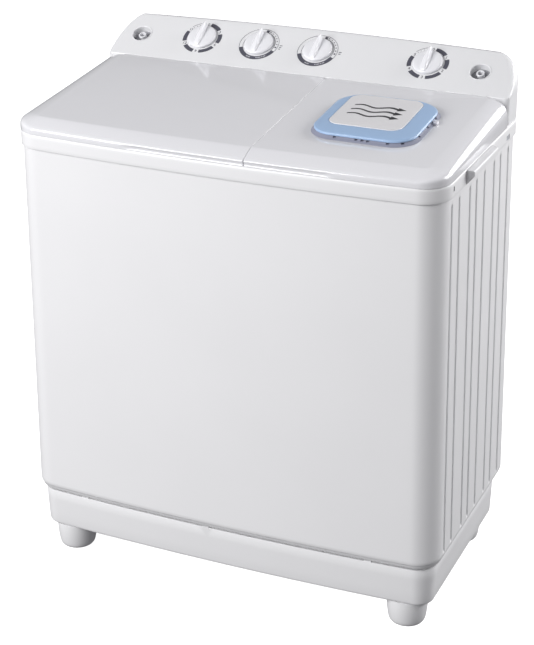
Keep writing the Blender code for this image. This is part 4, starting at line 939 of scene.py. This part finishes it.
# ---------------------------------------------------------------- knobs and dial print
# stations up the grip: place along the slope, half width left, half width right, height over the disc
GRIP = ((-0.0268, 0.0040, 0.0030, 0.0006), (-0.0250, 0.0066, 0.0044, 0.0020),
        (-0.0215, 0.0088, 0.0052, 0.0034),
        (-0.0150, 0.0104, 0.0054, 0.0052), (-0.0060, 0.0112, 0.0053, 0.0080),
        (0.0040, 0.0112, 0.0050, 0.0104),
        (0.0130, 0.0106, 0.0045, 0.0124), (0.0210, 0.0092, 0.0038, 0.0134),
        (0.0250, 0.0074, 0.0030, 0.0130),
        (0.0274, 0.0048, 0.0020, 0.0112))
DISC_TOP = 0.0088


def build_grip(place):
    """Wedge across the disc: gentle left flank, steep right flank, tall and narrow at its tip."""
    rows = []
    for v, left, right, rise in GRIP:
        low, top = 0.0070, DISC_TOP + rise
        ridge = right * 0.30
        row = [(-left, low), (right, low), (right * 0.90, DISC_TOP + rise * 0.34),
               (right * 0.72, DISC_TOP + rise * 0.72), (ridge + right * 0.24, top - 0.0003),
               (ridge, top), (ridge - left * 0.14, top - 0.0002), (-left * 0.40, DISC_TOP + rise * 0.76),
               (-left * 0.70, DISC_TOP + rise * 0.40), (-left * 0.92, DISC_TOP + rise * 0.10)]
        rows.append([place @ Vector((u, v, h)) for u, h in row])
    return loft("grip", rows)


def build_knob(tag, x):
    place = face_frame(x, KNOB_S)
    skirt = rounded([(0, 0.0008), (0.0292, 0.0008), (0.0300, 0.0014), (0.0300, 0.0046), (0.0288, 0.0064),
                     (0.0262, 0.0076), (0.0215, 0.0084), (0.0150, DISC_TOP), (0, DISC_TOP)], 0.0010, 4)
    knob = lathe("knob_%s_skin" % tag, skirt, place, 96)
    join(knob, build_grip(place))
    bore = lathe("bore", [(0, -0.002), (0.0034, -0.002), (0.0034, 0.0140), (0, 0.0140)], place, 24)
    cut(knob, bore)
    bevel(knob, 0.0005, 2, 50.0)
    finish_piece(knob, tag + "_knob", KNOB_WHITE, ["knob_" + tag], 34.0)
    tip = face_frame(x, KNOB_S) @ Matrix.Translation((0, 0.0290, 0))
    marker = prism("pointer_" + tag, [(-0.0012, -0.0008), (0.0012, -0.0008), (0.0006, 0.0009),
                                      (-0.0006, 0.0009)],
                   0.0022, 0.0062, tip)
    finish_piece(marker, tag + "_knob", SYMBOL_INK)


def arc_pad(place, r0, r1, start, end, h0=0.00012, h1=0.00034, steps=None):
    """Flat printed sector between two radii; angles in degrees, clockwise from the top."""
    steps = steps or max(3, int(abs(end - start) / 3.0))
    angles = [math.radians(90.0 - (start + (end - start) * i / steps)) for i in range(steps + 1)]
    outline = [(r1 * math.cos(a), r1 * math.sin(a)) for a in angles]
    outline += [(r0 * math.cos(a), r0 * math.sin(a)) for a in reversed(angles)]
    return prism("arc", outline, h0, h1, place)


def dot_pad(place, radius, angle, size):
    a = math.radians(90.0 - angle)
    cx, cy = radius * math.cos(a), radius * math.sin(a)
    outline = [(cx + size * math.cos(2 * math.pi * k / 12), cy + size * math.sin(2 * math.pi * k / 12))
               for k in range(12)]
    return prism("dot", outline, 0.00012, 0.00034, place)


def text_pad(text, size, place):
    """Raised print of a short generic number."""
    curve = bpy.data.curves.new("print", "FONT")
    curve.body = text
    curve.size = size
    curve.align_x = "CENTER"
    curve.align_y = "CENTER"
    curve.extrude = 0.00011
    curve.resolution_u = 3
    obj = bpy.data.objects.new("print", curve)
    bpy.context.scene.collection.objects.link(obj)
    graph = bpy.context.evaluated_depsgraph_get()
    mesh = bpy.data.meshes.new_from_object(obj.evaluated_get(graph))
    bpy.data.objects.remove(obj, do_unlink=True)
    mesh.transform(place @ Matrix.Translation((0, 0, 0.00023)))
    result = bpy.data.objects.new("print", mesh)
    bpy.context.scene.collection.objects.link(result)
    return result


R_IN, R_OUT = 0.0330, 0.0415
OUTLINE = 0.0007
TIMER_ARCS = ((9.5, 49.0), (68.0, 105.0), (124.5, 171.5), (191.0, 230.5), (250.0, 291.0))
TIMER_NUMBERS = (0.5, 58.5, 114.8, 181.3, 240.3, 300.0)


def number_at(place, angle, text, size=0.0092):
    a = math.radians(90.0 - angle)
    mid = (R_IN + R_OUT) / 2.0
    return text_pad(text, size, place @ Matrix.Translation((mid * math.cos(a), mid * math.sin(a), 0)))


def build_timer_dial(tag, x, numbers):
    """Five dark arcs with numbers in the gaps and an open sector before zero."""
    place = face_frame(x, KNOB_S)
    parts = [arc_pad(place, R_IN, R_OUT, start, end) for start, end in TIMER_ARCS]
    parts.append(arc_pad(place, R_OUT - OUTLINE, R_OUT, 310.0, 352.0))
    for angle in (312.0, 322.0, 332.0):
        parts.append(dot_pad(place, (R_IN + R_OUT) / 2.0, angle, 0.0008))
    for angle, label in zip(TIMER_NUMBERS, numbers):
        parts.append(number_at(place, angle, label))
    dial = merge("dial_" + tag, parts)
    finish_piece(dial, "machine", DIAL_INK)


def build_selector_dial(tag, x, marks):
    """Dark arc below with light marks in it, thin outlines elsewhere and a row of growing dots."""
    place = face_frame(x, KNOB_S)
    parts = []
    parts.append(arc_pad(place, R_IN, R_OUT, 112.0, 250.0))
    parts.append(arc_pad(place, R_IN + 0.0006, R_OUT - 0.0020, 6.0, 15.0))
    parts.append(arc_pad(place, R_OUT - OUTLINE, R_OUT, 250.0, 472.0))
    parts.append(arc_pad(place, R_IN, R_IN + OUTLINE, 250.0, 472.0))
    for i in range(7):
        parts.append(dot_pad(place, (R_IN + R_OUT) / 2.0, 21.0 + 12.5 * i,
                             0.0009 + 0.00010 * i + 0.0004 * (i == 6)))
    parts.append(arc_pad(place, R_IN + 0.0014, R_OUT - 0.0014, 338.0, 341.0, steps=1))
    for k in range(marks):
        low = place @ Matrix.Translation((0.0468, 0.0020 - 0.0046 * k, 0))
        parts.append(prism("mark", round_rect(-0.0026, 0.0036 - 0.0010 * k, -0.0008, 0.0008, 0.0007, 3),
                           0.00012, 0.00034, low))
    dial = merge("dial_" + tag, parts)
    finish_piece(dial, "machine", DIAL_INK)
    middle = (R_IN + R_OUT) / 2.0
    words = []
    for start, end in ((140.0, 147.0), (149.0, 153.0), (155.0, 165.0), (167.0, 171.0), (190.0, 197.0),
                       (199.0, 205.0)):
        words.append(arc_pad(place, middle - 0.0013, middle + 0.0011, start, end, 0.00030, 0.00046))
    finish_piece(merge("dial_light_" + tag, words), "machine", DIAL_LIGHT)


def build_controls():
    for tag, x in zip(KNOBS, KNOB_X):
        build_knob(tag, x)
    build_timer_dial("wash_timer", KNOB_X[0], ("0", "3", "6", "9", "12", "15"))
    build_timer_dial("spin_timer", KNOB_X[3], ("0", "1", "2", "3", "4", "5"))
    build_selector_dial("wash_selector", KNOB_X[1], 3)
    build_selector_dial("drain_selector", KNOB_X[2], 2)


# ---------------------------------------------------------------- back of the machine
COVER_HALF, COVER_LOW, COVER_HIGH, COVER_THICK = 0.366, 0.1390, 0.8766, 0.0030
LOUVRE_X, LOUVRE_HALF, LOUVRE_LOW, LOUVRE_PITCH = 0.205, 0.075, 0.290, 0.034
PANEL_X, PANEL_HALF, PANEL_LOW, PANEL_HIGH = 0.190, 0.130, 0.500, 0.840
# holes for the drain outlet and the cord gland: x, height, radius
COVER_HOLES = ((0.0600, 0.2200, 0.0172), (0.3000, 0.2100, 0.0084))
SCREW_HEAD = [(0, 0.0), (0.0042, 0.0), (0.0042, 0.0010), (0.0030, 0.0021), (0.0012, 0.0025), (0, 0.0025)]


def build_rear():
    d0 = DEPTH + 0.0004
    place = Matrix(((1, 0, 0, 0), (0, 0, -1, 0), (0, 1, 0, 0), (0, 0, 0, 1)))
    outline = round_rect(-COVER_HALF, COVER_HALF, COVER_LOW, COVER_HIGH, 0.012, 8)
    cover = prism("rear_cover_skin", outline, -d0 - COVER_THICK, -d0, place)
    cutters = []
    for side in (-1, 1):
        for i in range(5):
            z, x = LOUVRE_LOW + LOUVRE_PITCH * i, side * LOUVRE_X
            outline = round_rect(x - LOUVRE_HALF, x + LOUVRE_HALF, z, z + 0.010, 0.0045, 5)
            cutters.append(prism("louvre", outline, -d0 - 0.02, -d0 + 0.02, place))
    for x, z, radius in COVER_HOLES:
        cutters.append(lathe("hole", [(0, -0.02), (radius, -0.02), (radius, 0.02), (0, 0.02)],
                             frame_to((x, d0, z), (0, 1, 0)), 48))
    cut(cover, *cutters)
    ribs = []
    for side in (-1, 1):
        x = side * PANEL_X
        outline = round_rect(x - PANEL_HALF, x + PANEL_HALF, PANEL_LOW, PANEL_HIGH, 0.020, 8)
        ribs.append(prism("rib", outline, -d0 - 0.0044, -d0 - 0.0022, place))
    join(cover, *ribs)
    bevel(cover, 0.0006, 2, 40.0)
    finish_piece(cover, "machine", WHITE_SATIN, ["rear_cover"], 18.0)
    screws = []
    for x in (-0.350, -0.120, 0.120, 0.350):
        for z in (0.190, 0.858):
            head = lathe("screw", SCREW_HEAD, frame_to((x, d0 + COVER_THICK, z), (0, 1, 0)), 24)
            slot_a = block("slot", (x - 0.0024, d0 + 0.0044, z - 0.0004),
                           (x + 0.0024, d0 + 0.0070, z + 0.0004))
            slot_b = block("slot", (x - 0.0004, d0 + 0.0044, z - 0.0024),
                           (x + 0.0004, d0 + 0.0070, z + 0.0024))
            cut(head, slot_a, slot_b)
            screws.append(head)
    finish_piece(merge("rear_screws", screws), "machine", STEEL)
    gland = lathe("cord_gland_skin", rounded([(0.0036, -0.0080), (0.0080, -0.0080), (0.0080, 0.0038),
                                              (0.0120, 0.0038), (0.0120, 0.0070), (0.0095, 0.0085),
                                              (0.0098, 0.0100), (0.0085, 0.0105), (0.0088, 0.0120),
                                              (0.0070, 0.0140), (0.0036, 0.0140)], 0.0006, 3),
                  frame_to((0.3000, DEPTH, 0.2100), (0, 1, 0)), 40)
    finish_piece(gland, "machine", BLACK_PLASTIC, ["cord_gland"])


# ---------------------------------------------------------------- inside of the tubs
def build_tub():
    flange_top = 0.9020
    tub = prism("twin_tub_skin", round_rect(-0.408, 0.408, 0.014, 0.366, 0.050, 10), flange_top - 0.0030,
                flange_top)

    def wash_rows(levels, grow):
        rows = []
        for z, s in levels:
            outline = round_rect(WASH_X0 - grow + s, WASH_X1 + grow - s, WASH_D0 - grow + s,
                                 WASH_D1 + grow - s,
                                 WASH_R - s, 12)
            rows.append([Vector((x, y, z)) for x, y in outline])
        return rows

    wall = 0.0030
    outer = wash_rows(((WASH_FLOOR - 0.0040, 0.030), (WASH_FLOOR + 0.0120, 0.010),
                       (WASH_FLOOR + 0.0400, 0.003),
                       (flange_top - 0.0010, 0.0)), wall)
    join(tub, loft("wash", outer), lathe("spin", [
        (0, SPIN_FLOOR - 0.0040), (SPIN_R - 0.012, SPIN_FLOOR - 0.0040),
                                                  (SPIN_R + wall - 0.002, SPIN_FLOOR + 0.0080),
        (SPIN_R + wall, flange_top - 0.0010), (0, flange_top - 0.0010)], (SPIN_X, SPIN_D, 0), 72))
    inner = wash_rows(((WASH_FLOOR, 0.030), (WASH_FLOOR + 0.0030, 0.0240), (WASH_FLOOR + 0.0090, 0.0160),
                       (WASH_FLOOR + 0.0150, 0.010), (WASH_FLOOR + 0.0270, 0.0055),
                       (WASH_FLOOR + 0.0400, 0.003),
                       (0.9400, 0.0)), 0.0)
    cut(tub, loft("wash", inner), lathe("spin", [
        (0, SPIN_FLOOR), (SPIN_R - 0.014, SPIN_FLOOR), (SPIN_R - 0.006, SPIN_FLOOR + 0.0030),
        (SPIN_R - 0.001, SPIN_FLOOR + 0.010), (SPIN_R, 0.9400), (0, 0.9400)], (SPIN_X, SPIN_D, 0), 72))
    shafts = []
    for x, d, radius in ((PULS_X, PULS_D, 0.0180), (SPIN_X, SPIN_D, 0.0245)):
        shafts.append(lathe("shaft", [(0, 0.40), (radius, 0.40), (radius, 0.50), (0, 0.50)], (x, d, 0), 48))
    cut(tub, *shafts)
    finish_piece(tub, "machine", TUB_PLASTIC, ["twin_tub"])


def build_pulsator():
    dish = rounded([(0, 0.4620), (0.1300, 0.4620), (0.1460, 0.4780), (0.1440, 0.4830), (0.1200, 0.4780),
                    (0.0600, 0.4800), (0.0330, 0.4900), (0.0100, 0.4920), (0.0100, 0.4860), (0, 0.4860)],
                   0.004, 5)
    puls = lathe("pulsator_skin", dish, (PULS_X, PULS_D, 0), 96)
    fins = []
    for i in range(4):
        place = frame_to((PULS_X, PULS_D, 0), (0, 0, 1), math.radians(45 + 90 * i))
        rows = []
        for z, half_w, r0, r1 in ((0.4700, 0.0085, 0.020, 0.136), (0.4840, 0.0072, 0.021, 0.134),
                                  (0.4920, 0.0058, 0.022, 0.131), (0.4965, 0.0042, 0.025, 0.126),
                                  (0.4990, 0.0022, 0.030, 0.118)):
            rows.append([place @ Vector((x, y, z)) for x, y in round_rect(r0, r1, -half_w, half_w,
                                                                          half_w * 0.95, 6)])
        fins.append(loft("fin", rows))
    join(puls, *fins)
    cut(puls, lathe("hub", [(0, 0.455), (0.0064, 0.455), (0.0064, 0.4780), (0, 0.4780)],
                    (PULS_X, PULS_D, 0),
                    24),
        lathe("screw", [(0, 0.47), (0.0036, 0.47), (0.0036, 0.51), (0, 0.51)], (PULS_X, PULS_D, 0), 24))
    holes = []
    for ring, number in ((0.052, 8), (0.078, 12), (0.104, 16)):
        for i in range(number):
            a = 2.0 * math.pi * (i + 0.5) / number
            holes.append(lathe("hole", [(0, 0.455), (0.0026, 0.455), (0.0026, 0.500), (0, 0.500)],
                               (PULS_X + ring * math.cos(a), PULS_D + ring * math.sin(a), 0), 10))
    cut(puls, merge("holes", holes))
    finish_piece(puls, "pulsator", TUB_PLASTIC, ["pulsator"])


def build_basket():
    profile = rounded([(0.0064, 0.4850), (0.1160, 0.4850), (0.1320, 0.5050), (0.1370, 0.8500),
                       (0.1385, 0.8520),
                       (0.1385, 0.8790), (0.1250, 0.8800), (0.1240, 0.8580), (0.1335, 0.8480),
                       (0.1290, 0.5100),
                       (0.1140, 0.4890), (0.0400, 0.4900), (0.0200, 0.5100), (0.0064, 0.5100)], 0.0022, 3)
    basket = lathe("spin_basket_skin", profile, (SPIN_X, SPIN_D, 0), 96)
    holes = []
    for k in range(11):
        z = 0.530 + 0.0285 * k
        for i in range(24):
            a = 2.0 * math.pi * (i + (0.5 if k % 2 else 0.0)) / 24
            place = frame_to((SPIN_X + 0.120 * math.cos(a), SPIN_D + 0.120 * math.sin(a), z),
                             (math.cos(a), math.sin(a), 0))
            holes.append(lathe("hole", [(0, 0.0), (0.0030, 0.0), (0.0030, 0.03), (0, 0.03)], place, 8))
    cut(basket, merge("holes", holes))
    finish_piece(basket, "spin_basket", TUB_PLASTIC, ["spin_basket"])


def build_filter():
    low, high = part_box("lint_filter")
    shift = Vector((0.0, HALF_DEPTH, -FLOOR_SHIFT))
    low, high = low + shift, high + shift
    place = Matrix(((0, 0, 1, 0), (1, 0, 0, 0), (0, 1, 0, 0), (0, 0, 0, 1)))
    case = prism("lint_filter_skin", round_rect(low.y, high.y, low.z, high.z, 0.006, 6), low.x, high.x,
                 place)
    cutters = [prism("net", round_rect(low.y + 0.008, high.y - 0.008, low.z + 0.010, high.z - 0.020, 0.008,
                                       6),
                     low.x - 0.002, low.x + 0.004, place)]
    cut(case, *cutters)
    bars = []
    for i in range(1, 12):
        z = low.z + 0.010 + (high.z - low.z - 0.030) * i / 12.0
        bars.append(block("bar", (low.x + 0.0012, low.y + 0.007, z - 0.0010),
                          (low.x + 0.0052, high.y - 0.007, z + 0.0010)))
    for i in range(1, 6):
        y = low.y + 0.008 + (high.y - low.y - 0.016) * i / 6.0
        bars.append(block("bar", (low.x + 0.0018, y - 0.0008, low.z + 0.009),
                          (low.x + 0.0052, y + 0.0008, high.z - 0.019)))
    join(case, *bars)
    finish_piece(case, "machine", FILTER_BLUE, ["lint_filter"])


# ---------------------------------------------------------------- nodes that keep their own shape
CARRIED = {
    STEEL: ("hinge_rod_spin", "hinge_rod_wash", "wash_shaft", "spin_shaft", "pulsator_screw",
            "shaft_wash_timer",
            "shaft_wash_selector", "shaft_drain_selector", "shaft_spin_timer", "brake_lever",
            "drive_bracket"),
    MOTOR_PAINT: ("wash_motor", "spin_motor", "bearing_housing", "motor_capacitor", "brake_drum"),
    BLACK_PLASTIC: ("wash_pulley", "motor_pulley", "lid_switch"),
    RUBBER: ("drive_belt", "bellows_seal", "spin_mount_1", "spin_mount_2", "spin_mount_3", "drain_plunger"),
    GREY_PLASTIC: ("wash_timer", "wash_selector", "drain_selector", "spin_timer", "drain_valve",
                   "drain_outlet"),
}


def carry_nodes():
    for mat, names in CARRIED.items():
        for name in names:
            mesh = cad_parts[name].data
            mesh.materials.clear()
            mesh.materials.append(mat)


# ---------------------------------------------------------------- stage, light and camera
def build_stage():
    mesh = bpy.data.meshes.new("studio_floor")
    mesh.from_pydata([(-16, -16, 0), (16, -16, 0), (16, 16, 0), (-16, 16, 0)], [], [(0, 1, 2, 3)])
    floor = bpy.data.objects.new("studio_floor", mesh)
    bpy.context.scene.collection.objects.link(floor)
    mat = bpy.data.materials.new("floor_paper")
    mat.use_nodes = True
    nodes, links = mat.node_tree.nodes, mat.node_tree.links
    shader = nodes["Principled BSDF"]
    shader.inputs["Roughness"].default_value = 0.85
    shader.inputs["Emission Color"].default_value = (1, 1, 1, 1)
    shader.inputs["Emission Strength"].default_value = 0.95
    noise = nodes.new("ShaderNodeTexNoise")
    noise.inputs["Scale"].default_value = 1.5
    ramp = nodes.new("ShaderNodeValToRGB")
    ramp.color_ramp.elements[0].color = (0.90, 0.90, 0.90, 1)
    ramp.color_ramp.elements[1].color = (0.93, 0.93, 0.93, 1)
    links.new(noise.outputs["Fac"], ramp.inputs["Fac"])
    links.new(ramp.outputs["Color"], shader.inputs["Base Color"])
    mesh.materials.append(mat)
    # the floor shows and takes shadows, but throws no light back at the machine
    floor.visible_diffuse = False
    floor.visible_glossy = False


def area_light(name, azimuth, elevation, distance, size, power, aim, color=(1, 1, 1)):
    """Soft box on a bearing from the machine: azimuth from the front towards the right."""
    a, e = math.radians(azimuth), math.radians(elevation)
    light = bpy.data.lights.new(name, "AREA")
    light.shape = "RECTANGLE"
    light.size, light.size_y = size
    light.energy = power
    light.color = color
    obj = bpy.data.objects.new(name, light)
    offset = Vector((math.sin(a) * math.cos(e), -math.cos(a) * math.cos(e), math.sin(e))) * distance
    obj.location = Vector(aim) + offset
    obj.rotation_euler = offset.to_track_quat("Z", "Y").to_euler()
    bpy.context.scene.collection.objects.link(obj)
    return obj


def build_world():
    """Even surround, a little darker below the horizon."""
    world = bpy.data.worlds.new("studio")
    bpy.context.scene.world = world
    world.use_nodes = True
    nodes, links = world.node_tree.nodes, world.node_tree.links
    background = nodes["Background"]
    coords = nodes.new("ShaderNodeTexCoord")
    split = nodes.new("ShaderNodeSeparateXYZ")
    links.new(coords.outputs["Generated"], split.inputs["Vector"])
    ramp = nodes.new("ShaderNodeValToRGB")
    ramp.color_ramp.elements[0].position = 0.35
    ramp.color_ramp.elements[0].color = (0.15, 0.15, 0.157, 1)
    ramp.color_ramp.elements[1].position = 0.60
    ramp.color_ramp.elements[1].color = (0.31, 0.31, 0.318, 1)
    shift = nodes.new("ShaderNodeMapRange")
    shift.inputs["From Min"].default_value = -1.0
    shift.inputs["From Max"].default_value = 1.0
    links.new(split.outputs["Z"], shift.inputs["Value"])
    links.new(shift.outputs["Result"], ramp.inputs["Fac"])
    links.new(ramp.outputs["Color"], background.inputs["Color"])
    background.inputs["Strength"].default_value = 1.0


CAMERA_AZIMUTH, CAMERA_ELEVATION, CAMERA_ROLL = 23.846, 24.497, -0.407
CAMERA_DISTANCE, CAMERA_LENS = 3.4185, 98.60
CAMERA_TARGET = Vector((0.0370, -0.1040, 0.5443))


def build_camera():
    a, e, r = (math.radians(v) for v in (CAMERA_AZIMUTH, CAMERA_ELEVATION, CAMERA_ROLL))
    back = Vector((math.sin(a) * math.cos(e), -math.cos(a) * math.cos(e), math.sin(e)))
    right = Vector((math.cos(a), math.sin(a), 0.0))
    up = back.cross(right)
    across = math.cos(r) * right + math.sin(r) * up
    above = -math.sin(r) * right + math.cos(r) * up
    turn = Matrix((across, above, back)).transposed().to_4x4()
    data = bpy.data.cameras.new("camera")
    data.lens = CAMERA_LENS
    data.sensor_width = 36.0
    data.sensor_fit = "AUTO"
    data.clip_end = 60.0
    camera = bpy.data.objects.new("camera", data)
    camera.matrix_world = Matrix.Translation(CAMERA_TARGET + back * CAMERA_DISTANCE) @ turn
    bpy.context.scene.collection.objects.link(camera)
    bpy.context.scene.camera = camera


build_camera()
build_stage()
build_world()
MIDDLE = (0.0, 0.0, 0.60)         # point on the machine that both lights face
area_light("key", -31.0, 25.0, 5.0, (2.7, 2.7), 252.0, MIDDLE)
area_light("side", 127.0, 22.0, 3.2, (3.1, 1.7), 106.0, MIDDLE)
bpy.context.scene.view_settings.view_transform = "Standard"

build_cabinet()
build_base()
build_feet()
build_deck()
build_hand_holds()
for lid_name, lid_x0, lid_x1 in LIDS:
    build_lid(lid_name, lid_x0, lid_x1)
build_vent()
build_console()
build_wells()
build_controls()
build_rear()
build_tub()
build_pulsator()
build_basket()
build_filter()
carry_nodes()
